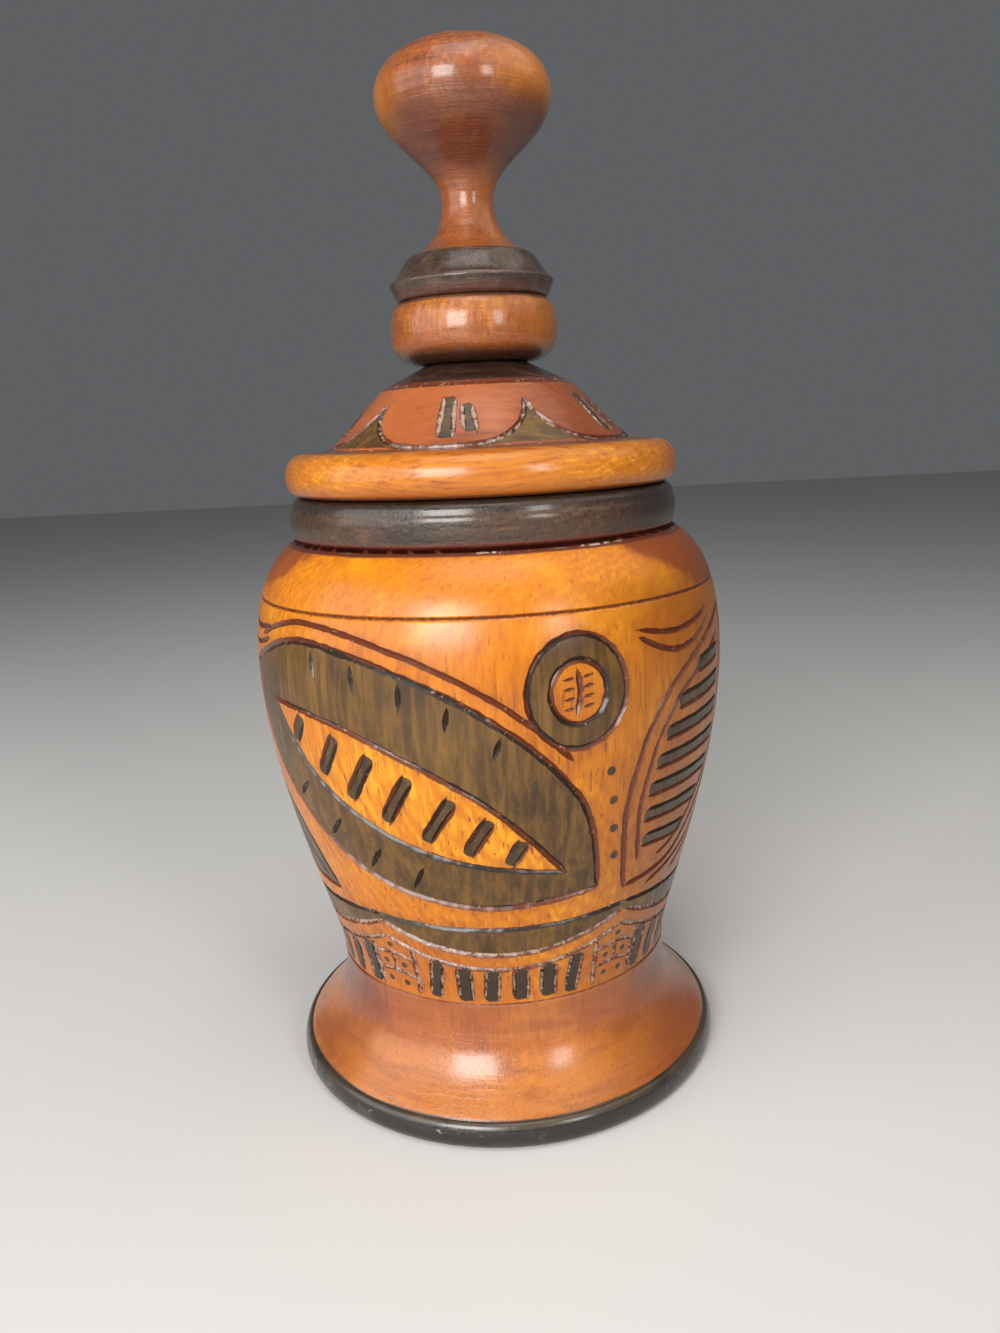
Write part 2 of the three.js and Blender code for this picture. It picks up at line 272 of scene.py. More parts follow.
def wall_layer(piece, name):
    """A number kept on each vertex of a piece, made if it isn't there yet."""
    layer = piece.data.attributes.get(name)
    if layer is None:
        layer = piece.data.attributes.new(name, "FLOAT", "POINT")
    return layer.data


def put_mask(piece, name, values):
    wall_layer(piece, name).foreach_set("value", np.clip(values, 0.0, 1.0).astype(np.float32))


def mark_ring(piece, height, spread, least_radius, share=1.0):
    """Stain a line scored round a piece, and a little to each side of it."""
    rows, radius = places(piece)
    ring = np.clip((spread - np.abs(rows[:, 2] - height)) / (spread * 0.5), 0.0, 1.0) * share
    groove = np.zeros(len(rows), np.float32)
    wall_layer(piece, "groove").foreach_get("value", groove)
    put_mask(piece, "groove", np.maximum(groove, ring * (radius > least_radius)))


# Carving

PATH_STEP = 0.4
CUT_STEP = 1.3
FLOW_STEP = 1.5
GROUND_STEP = 2.9
GROUND_ROOM = 0.7
END_ROOM = 0.35
SKIRT = 0.45
HALO = 5.0
BRUSH_HALF = 0.3

# The lines that a cut is meshed along: a share of its half width, and a distance beyond that
RAILS = ((-1, -SKIRT), (-1, 0), (-0.5, 0), (0, 0), (0.5, 0), (1, 0), (1, SKIRT))
BAR_TIP = ((-1.0, 0.0), (-0.4, 0.9), (0.5, 0.5), (1.0, 0.0))


def flowing(points):
    """A smooth path through a few points."""
    knots = [np.array(p, float) for p in points]
    path = []
    for a, b, c, d in zip(knots[:1] + knots, knots, knots[1:], knots[2:] + knots[-1:]):
        pieces = max(2, int(np.linalg.norm(c - b) / FLOW_STEP))
        for t in np.linspace(0.0, 1.0, pieces, endpoint=False):
            bend = (2 * a - 5 * b + 4 * c - d) * t * t + (3 * b - a - 3 * c + d) * t ** 3
            path.append(0.5 * (2 * b + (c - a) * t + bend))
    return np.array(path + knots[-1:])


def inside(outline, spots):
    """Which spots lie inside a closed outline."""
    crossings = np.zeros(len(spots), bool)
    for (u1, v1), (u2, v2) in zip(outline, np.roll(outline, -1, axis=0)):
        if v1 != v2:
            spans = (v1 > spots[:, 1]) != (v2 > spots[:, 1])
            crossings ^= spans & (spots[:, 0] < u1 + (spots[:, 1] - v1) * (u2 - u1) / (v2 - v1))
    return crossings


class CarvedWall:
    """A turned wall laid out flat, to draw cuts and stained fields on.

    The first coordinate runs round the wall, in millimetres at the girth radius, with 0 at the
    front. The second runs up its outline. Real distances are kept by the stretch at each height.
    """

    def __init__(self, outline, girth_radius):
        self.radii, self.heights = np.array(outline).T
        steps = np.hypot(np.diff(self.radii), np.diff(self.heights))
        self.along = np.concatenate([[0.0], np.cumsum(steps)])
        self.length = self.along[-1]
        self.girth_radius = girth_radius
        self.girth = 2 * math.pi * girth_radius
        self.cuts = []
        self.fields = []
        self.brush_edges = []

    def up(self, height):
        return np.interp(height, self.heights, self.along)

    def stretch(self, v):
        return np.interp(v, self.along, self.radii) / self.girth_radius

    def place(self, u, v, depth=0.0):
        """The point on the wall, sunk square to it by a depth."""
        low, middle, high = (np.stack([np.interp(level, self.along, self.radii),
                                       np.interp(level, self.along, self.heights)])
                             for level in (v - 0.5, v, v + 0.5))
        slope = (high - low) / np.hypot(*(high - low))
        radius = middle[0] - depth * slope[1]
        height = middle[1] + depth * slope[0]
        angle = u / self.girth_radius
        return np.stack([radius * np.sin(angle), -radius * np.cos(angle), height], axis=-1)

    def even(self, path, step):
        """A path with its points evenly spaced in real distance, and how far along each is."""
        path = np.asarray(path, float)
        spans = np.diff(path, axis=0)
        middle = (path[1:, 1] + path[:-1, 1]) / 2
        real = np.hypot(spans[:, 0] * self.stretch(middle), spans[:, 1])
        gone = np.concatenate([[0.0], np.cumsum(real)])
        at = np.linspace(0.0, gone[-1], max(3, int(round(gone[-1] / step)) + 1))
        return np.stack([np.interp(at, gone, path[:, k]) for k in (0, 1)], axis=1), at

    def beside(self, path, distance):
        """A path shifted square to itself by a real distance."""
        stretch = self.stretch(path[:, 1])
        along = np.gradient(path, axis=0)
        along[:, 0] *= stretch
        along /= np.maximum(np.linalg.norm(along, axis=1), 1e-9)[:, None]
        side = np.stack([-along[:, 1] / stretch, along[:, 0]], axis=1)
        return path + side * np.reshape(distance, (-1, 1))

    def copies(self, path):
        """A path, and its copies a whole girth away, as far as they touch the wall."""
        edge = self.girth / 2 + 4
        for shift in (-self.girth, 0.0, self.girth):
            moved = path + np.array([shift, 0.0])
            if moved[:, 0].max() > -edge and moved[:, 0].min() < edge:
                yield moved

    # A cut's pale share lays pale fill in it at high values; the small default shares paint glints in
    # the cut instead.
    def cut(self, path, width=2.4, depth=1.15, pale_fill_and_glint=0.2, closed=False, wobble=0.32):
        """A gouge cut along a path: it thins at its ends and wanders a little."""
        path, gone = self.even(path, PATH_STEP)
        seed = len(self.cuts) * 3.7
        swing = np.array([noise.noise(Vector((s * 0.11, seed, 0.0))) for s in gone])
        swell = np.array([noise.noise(Vector((s * 0.3, seed, 9.0))) for s in gone])
        left = np.minimum(gone, gone[-1] - gone)
        run_in = np.ones(len(gone)) if closed else np.clip(left / (1.5 * width), 0.0, 1.0)
        half = width / 2 * (0.16 + 0.84 * run_in ** 0.6) * (1 + 0.3 * swell)
        deep = depth * (0.2 + 0.8 * run_in ** 0.8) * (1 + 0.2 * swell)
        self.cuts.append((self.beside(path, swing * wobble * run_in), half, deep, pale_fill_and_glint))

    def field(self, outline, stain=0.6):
        """A patch inside an outline, stained olive at 0.6 or near black at 1, or left clear at 0."""
        self.fields.append((np.asarray(outline, float), stain))

    def field_between(self, first, second, stain=0.6):
        self.field(np.concatenate([first, second[::-1]]), stain)

    def brush_edge(self, path):
        """A place where stain ends with no cut to hold it."""
        self.brush_edges.append(self.even(path, CUT_STEP)[0])

    def bar(self, u, v, length, thickness, lean, pale_fill_and_glint=0.1, width=1.9, depth=0.95, stain=0.8):
        """A brushed bar of stain between two cuts. Lean is its angle from level, in radians."""
        stretch = float(self.stretch(v))
        run = np.array([math.cos(lean) / stretch, math.sin(lean)])
        edge = np.array([-math.sin(lean) / stretch, math.cos(lean)]) * thickness / 2
        ends = [np.array([u, v]) + way * run * length / 2 for way in (-1, 1)]
        for shift in (edge + run * 0.8, -edge - run * 0.6):
            self.cut([end + shift for end in ends], width, depth, pale_fill_and_glint, wobble=0.3)
        outline = []
        for end, way in zip(ends, (-1, 1)):
            tip = [end + way * (edge * side + run * out) for side, out in BAR_TIP]
            self.brush_edge(tip)
            outline += tip
        self.field(outline, stain)

    def dot(self, u, v, size):
        """A dab of stain pressed in with a round tool."""
        stretch = float(self.stretch(v))
        turn = np.linspace(0, 2 * math.pi, 13)
        ring = np.stack([u + np.cos(turn) * size / stretch, v + np.sin(turn) * size], axis=1)
        self.brush_edge(ring)
        self.field(ring, 0.8)

    def make(self, name):
        """Mesh the wall with its cuts as real hollows, and keep its masks on the vertices."""
        points = []
        edges = []

        def draw(path):
            first = len(points)
            points.extend((float(u), float(v)) for u, v in path)
            edges.extend((i, i + 1) for i in range(first, len(points) - 1))

        def draw_rail(path, away):
            rail = self.beside(path, away)
            rail[:, 1] = np.clip(rail[:, 1], END_ROOM, self.length - END_ROOM)
            draw(rail)

        half_girth = self.girth / 2
        levels = np.linspace(0.0, self.length, int(round(self.length / GROUND_STEP)) + 1)
        columns = np.linspace(-half_girth, half_girth, BODY_SIDES + 1)
        draw([(u, 0.0) for u in columns]
             + [(half_girth, v) for v in levels[1:]]
             + [(u, self.length) for u in columns[::-1][1:]]
             + [(-half_girth, v) for v in levels[::-1][1:-1]])
        border = list(range(len(points)))
        edges.append((border[-1], border[0]))

        laid = []
        for path, half, deep, pale_fill_and_glint in self.cuts:
            for moved in self.copies(path):
                laid.append((moved, half, deep, np.full(len(half), pale_fill_and_glint)))
                every = int(round(CUT_STEP / PATH_STEP))
                chosen = sorted(set(range(0, len(moved), every)) | {len(moved) - 1})
                for share, skirt in RAILS:
                    draw_rail(moved[chosen], half[chosen] * share + skirt)
        for path in self.brush_edges:
            for moved in self.copies(path):
                draw_rail(moved, -BRUSH_HALF)
                draw_rail(moved, BRUSH_HALF)

        centre, half, deep, pale_fill_and_glint = (np.concatenate(part) for part in zip(*laid))
        tree = kdtree.KDTree(len(centre))
        for index, spot in enumerate(self.place(centre[:, 0], centre[:, 1])):
            tree.insert(spot, index)
        tree.balance()

        for number, level in enumerate(levels[1:-1]):
            count = int(self.girth * self.stretch(level) / GROUND_STEP)
            across = -half_girth + (np.arange(count) + 0.25 + number % 2 / 2) * self.girth / count
            across = across[np.abs(across) <= half_girth - 0.8]
            for u, spot in zip(across, self.place(across, np.full(len(across), level))):
                _, nearest, away = tree.find(spot)
                if away >= half[nearest] + SKIRT + GROUND_ROOM:
                    points.append((float(u), float(level)))

        spots, _, faces, *_ = delaunay_2d_cdt(points, edges, [border], 1, 0.02)
        flat = np.clip([tuple(s) for s in spots], (-half_girth, 0.0), (half_girth, self.length))
        sunk, groove, pale_fill_and_glint_mask, halo, stain = np.zeros((5, len(flat)))
        for index, spot in enumerate(self.place(flat[:, 0], flat[:, 1])):
            for _, nearest, away in tree.find_n(spot, 3):
                ratio = away / half[nearest]
                beyond = away - half[nearest]
                sunk[index] = max(sunk[index], deep[nearest] * (1 - min(ratio, 1.0) ** 1.6))
                groove[index] = max(groove[index], (SKIRT - beyond) / (SKIRT + 0.35))
                pale_fill_and_glint_mask[index] = max(pale_fill_and_glint_mask[index], pale_fill_and_glint[nearest] * min(1.3 - ratio, 1.0))
                halo[index] = max(halo[index], 1.0 - beyond / HALO)
        for outline, value in self.fields:
            for moved in self.copies(outline):
                near = (flat >= moved.min(axis=0)) & (flat <= moved.max(axis=0))
                hits = np.flatnonzero(near.all(axis=1))
                stain[hits[inside(moved, flat[hits])]] = value

        mesh = bpy.data.meshes.new(name)
        mesh.from_pydata((self.place(flat[:, 0], flat[:, 1], sunk) * MM).tolist(), [], faces)
        piece = add_object(name, mesh)
        put_mask(piece, "groove", groove)
        put_mask(piece, "stain", stain)
        put_mask(piece, "pale_fill_and_glint", pale_fill_and_glint_mask)
        put_mask(piece, "halo", halo)
        return piece


def closed_wall(wall, name, lower, upper, sway):
    """A carved wall closed with the plain turnings below and above it."""
    carved = wall.make(name)
    below = turned(name + "_below", lower, BODY_SIDES)
    above = turned(name + "_above", upper, BODY_SIDES)
    pick(carved, below, above)
    bpy.ops.object.join()
    return close_up(carved, 38, sway)


# What is carved round the belly

WAVES = 5
WAVE_START = 17.5
WAVE_LIFT = 12.0
WAVE_BAND = 7.5
BAND_HEIGHT = 39.0
BAND_LIFT = 2.6
HATCHES = 42
HATCH_START = 2.4
HATCH_ROOM = 15.0
CELL_HALF = 13.0
CELL_LINES = (((-12, 61), (0, 62.5), (12, 60.5)), ((-12.5, 69.5), (0, 71.5), (12.8, 69)))
CELL_POST = ((0.5, 62.3), (-0.5, 71.3))
CELL_DOTS = ((-6, 57.2), (5, 56.8), (-6.5, 66), (6, 66), (0, 75.5))
PANELS = 2
STRIP_WIDTH = 22.0
STRIP_MARGIN = 3.0
STRIP_STEP = 16.0

# Leaves, a shell and plain lines. A point is a share of the panel's width from its middle, and
# of its height.
GREAT_LEAF = (
    ((-0.409, 0.804), (-0.248, 0.916), (-0.047, 0.772), (0.1, 0.45), (0.141, 0.105)),
    ((-0.409, 0.804), (-0.355, 0.482), (-0.214, 0.201), (-0.04, 0.08), (0.141, 0.105)),
)
MIDRIB = (
    ((-0.328, 0.715), (-0.181, 0.659), (-0.027, 0.466), (0.09, 0.185)),
    ((-0.328, 0.715), (-0.241, 0.466), (-0.094, 0.273), (0.09, 0.185)),
)
UPRIGHT_LEAF = (
    ((0.188, 0.072), (0.174, 0.4), (0.235, 0.723), (0.402, 0.924)),
    ((0.188, 0.072), (0.308, 0.145), (0.409, 0.45), (0.402, 0.924)),
)
LOW_LEAF = (
    ((-0.281, 0.056), (-0.348, 0.27), (-0.446, 0.418)),
    ((-0.281, 0.056), (-0.402, 0.096), (-0.446, 0.418)),
)
LOW_VEIN = ((-0.31, 0.085), (-0.368, 0.19), (-0.425, 0.35))
SHELL_PLACE = (0.1, 0.77)
SHELL_SIZE = (0.062, 0.16)
DOTS = ((0.143, 0.51), (0.15, 0.41), (0.155, 0.31), (0.162, 0.21))


def carve_waves(wall):
    """Hanging arcs above the waist, with a dark crescent over each and hatching below."""
    width = wall.girth / WAVES
    shares = np.linspace(-1.0, 1.0, 33)
    low_line = waist_line + WAVE_START

    def arc(number, base, lift):
        middle = (number - (WAVES - 1) / 2) * width
        return np.stack([middle + shares * width / 2, wall.up(base + lift * shares ** 2)], axis=1)

    def risen(u, points):
        return [(u + across, wall.up(height)) for across, height in points]

    for number in range(WAVES):
        high = arc(number, low_line + WAVE_BAND, WAVE_LIFT)
        top = arc(number, waist_line + BAND_HEIGHT - BAND_LIFT / 2, BAND_LIFT)
        wall.cut(arc(number, low_line, WAVE_LIFT), width=2.2, pale_fill_and_glint=0.75)
        wall.cut(high, width=2.6, depth=1.25, pale_fill_and_glint=0.7)
        wall.cut(top, width=2.3, pale_fill_and_glint=0.3)
        wall.field_between(high, top)

    for number in range(HATCHES):
        u = (number + 0.5) * wall.girth / HATCHES - wall.girth / 2
        share = ((u / width + WAVES / 2) % 1.0) * 2 - 1
        if abs(share) > 1 - HATCH_ROOM / (width / 2):
            continue
        ceiling = low_line + WAVE_LIFT * share ** 2 - 1.4
        sway = noise.noise(Vector((number * 1.7, 4.0, 0.0)))
        start = waist_line + HATCH_START + 2.6 * noise.noise(Vector((number * 2.3, 8.0, 0.0)))
        wall.bar(u + 1.2 * sway, wall.up((start + ceiling) / 2), ceiling - start, 5.2 + 1.6 * sway,
                 math.pi / 2 + 0.26 * sway - 0.08, pale_fill_and_glint=0.7, width=1.7, depth=0.9, stain=1.0)

    for number in range(WAVES):
        u = (number - WAVES / 2) * width
        top = low_line + WAVE_LIFT * (1 - CELL_HALF / (width / 2)) ** 2
        for side in (-CELL_HALF, CELL_HALF):
            wall.cut(risen(u, ((side, waist_line + 1.6), (side * 1.06, top + 0.5))), pale_fill_and_glint=0.75)
        for line in CELL_LINES:
            wall.cut(flowing(risen(u, line)), width=2.1, pale_fill_and_glint=0.75)
        wall.cut(risen(u, CELL_POST), width=2.0, pale_fill_and_glint=0.75)
        for spot in risen(u, CELL_DOTS):
            wall.dot(*spot, 1.5)


def carve_strip(wall, u, foot, head):
    """An upright strip of cells, each with a dot, between two long cuts."""
    heights = np.linspace(foot + STRIP_MARGIN, head - STRIP_MARGIN, 24)
    bottom, top = heights[0], heights[-1]
    half = STRIP_WIDTH / 2
    for side in (-half, half):
        wall.cut([(u + side + 0.6 * math.sin(h * 0.07), wall.up(h)) for h in heights], width=2.5)
    wall.cut([(u + math.sin(h * 0.06 + 1), wall.up(h)) for h in heights], width=2.1)
    for side, start in ((-half, 0.0), (half, 0.5)):
        for row in range(int((top - bottom) / STRIP_STEP) + 1):
            height = bottom + (row + start) * STRIP_STEP
            if bottom + 2 < height < top - 2:
                wall.cut([(u, wall.up(height + 0.8)), (u + side, wall.up(height))], width=2.0)
            if height + STRIP_STEP / 2 < top - 2:
                wall.dot(u + side / 2, wall.up(height + STRIP_STEP / 2), 1.7)


def carve_panel(wall, middle, foot, head):
    """A panel of leaves: a great stained one, an upright one filled with bars, and a shell."""
    width = wall.girth / PANELS
    tall = head - foot

    def at(points):
        return [(middle + across * width, float(wall.up(foot + up * tall))) for across, up in points]

    def leaf(edges, size, depth=1.15):
        paths = [flowing(at(edge)) for edge in edges]
        for path in paths:
            wall.cut(path, size, depth, pale_fill_and_glint=0.25)
        return paths

    def vein(path, distance, low, high, size):
        """A cut at a distance beside a path, over part of its length."""
        count = len(path)
        wall.cut(wall.beside(path, distance)[int(count * low):int(count * high)], size)

    def line(points, size):
        wall.cut(flowing(at(points)), size)

    upper, lower = leaf(GREAT_LEAF, 2.8, 1.3)
    wall.field_between(upper, lower)
    vein(upper, 7.0, 0.1, 0.74, 2.3)
    rib_upper, rib_lower = leaf(MIDRIB, 2.5)
    wall.field_between(rib_upper, rib_lower, stain=0.0)
    for share in (0.16, 0.27, 0.38, 0.49, 0.6, 0.71, 0.81):
        above = rib_upper[int(share * len(rib_upper))]
        below = rib_lower[int(share * len(rib_lower))]
        spot = (above + below) / 2
        across = (above - below) * (wall.stretch(spot[1]), 1.0)
        length = float(np.linalg.norm(across)) * 0.62
        wall.bar(*spot, length, 4.4, math.atan2(across[1], across[0]) - 0.12)
    for edge, distance, outer, lean, shares in (
            (upper, -11.5, 0.72, (2.5, -1.0), (0.26, 0.35, 0.44, 0.53, 0.62)),
            (lower, 12.0, 0.7, (3.0, 1.5), (0.3, 0.4, 0.5, 0.6))):
        for index in [int(share * len(edge)) for share in shares]:
            inner = wall.beside(edge, distance)[index]
            wall.cut([edge[index] * outer + inner * (1 - outer), inner + lean], width=2.3)

    left, right = leaf(UPRIGHT_LEAF, 2.7, 1.25)
    vein(left, -7.0, 0.1, 0.9, 2.2)
    vein(right, 7.0, 0.16, 0.9, 2.2)
    for row in range(7):
        level = wall.up(foot + (0.22 + 0.092 * row) * tall)
        start = np.interp(level, left[:, 1], left[:, 0]) + 11.5
        end = np.interp(level, right[:, 1], right[:, 0]) - 11.5
        if end - start > 6:
            wall.bar((start + end) / 2, level, (end - start) * wall.stretch(level), 5.2,
                     -0.06 + 0.025 * row)

    wall.field_between(*leaf(LOW_LEAF, 2.4))
    line(LOW_VEIN, 2.0)

    ovals = []
    for share in (1.0, 0.56):
        ring = at([(SHELL_PLACE[0] + share * SHELL_SIZE[0] * math.cos(t),
                    SHELL_PLACE[1] + share * 1.06 * SHELL_SIZE[1] * math.sin(t))
                   for t in np.linspace(0, 2 * math.pi, 33)])
        wall.cut(ring, width=2.4, closed=True, wobble=0.1)
        ovals.append(ring)
    wall.field(ovals[0])
    wall.field(ovals[1], stain=0.0)
    centre = np.array(at([SHELL_PLACE])[0])
    wall.cut([centre + (-1.2, -8.0), centre + (0.6, 0.0), centre + (-0.4, 8.2)], width=2.5)
    for rise in (-5.5, -1.8, 1.8, 5.5):
        wall.cut([centre + (1.8, rise), centre + (5.6, rise + 0.8)], width=1.5, depth=0.8)
        wall.cut([centre + (-1.9, rise), centre + (-5.6, rise - 0.6)], width=1.5, depth=0.8)

    for spot in at(DOTS):
        wall.dot(*spot, 1.9)
    for lift in (0.0, 0.055):
        line(((0.185, 0.9 + lift * 0.4), (0.235, 0.845 + lift), (0.285, 0.85 + lift),
              (0.335, 0.9 + lift * 0.6)), 2.2)
        line(((-0.452, 0.9 + lift), (-0.4, 0.868 + lift), (-0.34, 0.9 + lift * 0.7)), 2.2)
        line(((-0.455, 0.5 + 2 * lift), (-0.435, 0.6 + lift), (-0.43, 0.74)), 2.0)
    for lift in (0.0, 0.07):
        line(((0.24 + lift, 0.045), (0.35 + lift * 0.5, 0.14), (0.435, 0.32 - lift)), 2.2)


# What is carved round the dome of the lid

DOME_GIRTH_RADIUS = 50.0
SWAGS = 5
SWAG_TURN = math.radians(-14.0)
HALF_SWAG = ((-1.0, 1.0), (-0.93, 0.7), (-0.8, 0.42), (-0.58, 0.17), (-0.3, 0.06))

# A bar's shift from the middle, low and high end as shares of the slope, thickness and lean
SWAG_BARS = ((1.0, 0.18, 0.79, 5.2, 1.6), (8.8, 0.26, 0.67, 4.2, 1.72))


def carve_swags(wall):
    """Hanging arcs with dark gussets between them, and a pair of bars in each."""
    width = wall.girth / SWAGS
    top = wall.length * 0.74
    shape = HALF_SWAG + ((0.0, 0.035),) + tuple((-u, v) for u, v in HALF_SWAG[::-1])
    for number in range(SWAGS):
        middle = (number - (SWAGS - 1) / 2) * width + SWAG_TURN * wall.girth_radius
        swag = flowing([(middle + u * width / 2, v * top) for u, v in shape])
        wall.cut(swag, width=2.3, depth=1.1, pale_fill_and_glint=0.6)
        peak = middle + width / 2
        start = middle + 0.1 * width
        left = [(start, 0.3)] + [(u, v) for u, v in swag if u >= start]
        wall.field(left + [(2 * peak - u, v) for u, v in left[::-1]])
        for shift, low, high, thickness, lean in SWAG_BARS:
            wall.bar(middle + shift, (low + high) / 2 * wall.length, (high - low) * wall.length,
                     thickness, lean, pale_fill_and_glint=0.85, width=2.2, depth=0.9)


# Pieces

def make_foot():
    underside = (foot_radius - BASE_RING_EDGE, 0.0)
    widest = (foot_radius, BASE_RING_RISE)
    flare_start = (foot_radius - BASE_RING_EDGE, BASE_RING_HEIGHT)
    waist = (WAIST_RADIUS, waist_line - WAIST_DROP)
    width = flare_start[0] - waist[0]
    height = waist[1] - flare_start[1]
    low_handle = (flare_start[0] - width * 0.42, flare_start[1] + height * 0.23)
    top_handle = (waist[0], waist[1] - height * 0.53)
    socket_radius = TENON_RADIUS + GAP
    outline = joined(
        straight((0.0, 0.0), (underside[0] - 4, 0.0), 6),
        undercut(underside, widest, 8),
        rounded(widest, (flare_start[0] + 0.5, BASE_RING_HEIGHT - 0.3), 8),
        [(flare_start[0] + 0.1, BASE_RING_HEIGHT - 0.35)],
        sweep(flare_start, low_handle, top_handle, waist, 26)[1:],
        straight(waist, (JOINT_RADIUS, waist_line - SEAM_CHAMFER - 0.3), 3),
        [(JOINT_RADIUS, waist_line - SEAM_CHAMFER), (JOINT_RADIUS - SEAM_CHAMFER, waist_line)],
        [(socket_radius, waist_line), (socket_radius, tenon_end - GAP), (0.0, tenon_end - GAP)],
    )
    piece = close_up(turned("foot_turned", outline, BODY_SIDES), 32, BODY_SWAY)
    mark_ring(piece, waist_line, 0.9, JOINT_RADIUS - 3, 0.6)
    return piece


def belly_outline():
    start = (JOINT_RADIUS, waist_line + SEAM_CHAMFER)
    widest = (belly_radius, belly_top - BELLY_WIDEST_DROP)
    end = (BELLY_TOP_RADIUS, belly_top - NECK_GROOVE / 2)
    rise = widest[1] - start[1]
    fall = end[1] - widest[1]
    lower = sweep(start, (start[0], start[1] + rise * 0.11), (widest[0], widest[1] - rise * 0.4),
                  widest, 60)
    upper = sweep(widest, (widest[0], widest[1] + fall * 0.49),
                  (end[0] + (widest[0] - end[0]) * 0.7, end[1] - fall * 0.14), end, 36)
    return joined(lower, upper)


def make_belly():
    outside = belly_outline()
    score = belly_top - SHOULDER_SCORE_DROP
    carved_part, shoulder_part = scored(outside, score)
    wall = CarvedWall(carved_part, belly_radius)
    carve_waves(wall)
    band_top = waist_line + BAND_HEIGHT
    for panel in range(PANELS):
        carve_strip(wall, (panel - 0.5) * wall.girth / PANELS, band_top, score)
        carve_panel(wall, panel * wall.girth / PANELS, band_top, score)

    floor = waist_line + FLOOR_THICKNESS
    corner_top = floor + FLOOR_CORNER
    lining = [p for p in inset(outside[::2] + outside[-1:], WALL) if p[1] > corner_top
              and (p[1] < LINING_TOP or (p[0] > MOUTH_RADIUS and p[1] < belly_top))]
    corner = (lining[0][0], corner_top)
    corner_end = (corner[0] - FLOOR_CORNER, floor)
    lower = joined(
        [(0.0, tenon_end)],
        straight((HUB_RADIUS, tenon_end), (TENON_RADIUS, tenon_end), 3),
        [(TENON_RADIUS, waist_line), (JOINT_RADIUS - SEAM_CHAMFER, waist_line), carved_part[0]],
    )
    upper = joined(
        shoulder_part,
        [(BELLY_TOP_RADIUS - NECK_GROOVE, belly_top), (MOUTH_RADIUS, belly_top)],
        lining[::-1],
        rounded(corner, corner_end, 8),
        straight(corner_end, (HUB_RADIUS, floor), 8),
        [(0.0, floor)],
    )
    piece = closed_wall(wall, "belly_carved", lower, upper, BODY_SWAY)
    mark_ring(piece, waist_line, 0.9, JOINT_RADIUS - 3, 0.6)
    mark_ring(piece, score, 0.9, belly_radius - 12, 0.7)
    mark_ring(piece, belly_top, 2.6, BELLY_TOP_RADIUS - 3)
    return piece


def make_neck_ring():
    middle = (belly_top + neck_top) / 2
    side = neck_radius - NECK_BULGE
    low_edge = (BELLY_TOP_RADIUS - NECK_GROOVE, belly_top)
    low_side = (side, belly_top + 2.2)
    high_side = (side, neck_top - NECK_EDGE)
    outline = joined(
        [(MOUTH_RADIUS, belly_top), low_edge],
        undercut(low_edge, low_side, 6),
        sweep(low_side, (side + 0.5, belly_top + 4.2), (neck_radius, middle - 3),
              (neck_radius, middle), 6),
        sweep((neck_radius, middle), (neck_radius, middle + 3), (side + 0.4, neck_top - 6),
              high_side, 6),
        rounded(high_side, (side - NECK_EDGE, neck_top), 8),
        [(MOUTH_RADIUS + 1.2, neck_top), (MOUTH_RADIUS, neck_top - 1.2), (MOUTH_RADIUS, belly_top)],
    )
    return close_up(turned("neck_ring_turned", outline, BODY_SIDES), 34, BODY_SWAY)


def make_lid():
    base = neck_top + GAP
    rim_top = base + RIM_HEIGHT
    dome_foot = rim_top + LEDGE_RISE
    dome_top = lid_top - CROWN_HEIGHT
    handle_in = (DOME_FOOT_RADIUS - CROWN_RADIUS) * 0.32
    handle_up = (dome_top - dome_foot) * 0.27
    dome = sweep(
        (DOME_FOOT_RADIUS, dome_foot),
        (DOME_FOOT_RADIUS - handle_in, dome_foot + handle_up),
        (CROWN_RADIUS + handle_in, dome_top - handle_up),
        (CROWN_RADIUS, dome_top),
        24,
    )
    crown = straight((CROWN_RADIUS, dome_top), (SEAT_RADIUS, lid_top), 8)
    carved_part, crown_part = scored(dome + crown[1:], dome_top)
    wall = CarvedWall(carved_part, DOME_GIRTH_RADIUS)
    carve_swags(wall)

    rim_middle = (rim_radius, base + RIM_RISE)
    spigot_in = SPIGOT_RADIUS - SPIGOT_EDGE
    lower = joined(
        [(0.0, spigot_end)],
        straight((HUB_RADIUS, spigot_end), (spigot_in, spigot_end), 5),
        undercut((spigot_in, spigot_end), (SPIGOT_RADIUS, spigot_end + SPIGOT_EDGE), 5),
        [(SPIGOT_RADIUS, base)],
        undercut((rim_radius - RIM_EDGE, base), rim_middle, 12, 0.6),
        rounded(rim_middle, (LEDGE_EDGE_RADIUS, rim_top), 14, 0.6),
        straight((LEDGE_EDGE_RADIUS, rim_top), (DOME_FOOT_RADIUS + 1.0, dome_foot - 0.1), 4),
        [(DOME_FOOT_RADIUS + 0.5, dome_foot - 0.45), (DOME_FOOT_RADIUS, dome_foot)],
    )
    bore_end = lid_top - LID_BORE
    upper = joined(crown_part, [(BORE_RADIUS, lid_top), (BORE_RADIUS, bore_end), (0.0, bore_end)])
    piece = closed_wall(wall, "lid_carved", lower, upper, LID_SWAY)
    mark_ring(piece, dome_top, 1.5, CROWN_RADIUS - 4)
    return piece


def make_bead():
    middle = (bead_radius, lid_top + BEAD_RISE)
    outline = joined(
        [(BORE_RADIUS, lid_top), (SEAT_RADIUS, lid_top)],
        undercut((SEAT_RADIUS, lid_top), middle, 22, 0.66),
        rounded(middle, (BEAD_TOP_RADIUS, bead_top), 18),
        [(BORE_RADIUS, bead_top), (BORE_RADIUS, lid_top)],
    )
    return close_up(turned("bead_turned", outline, FINIAL_SIDES), 40, BEAD_SWAY)


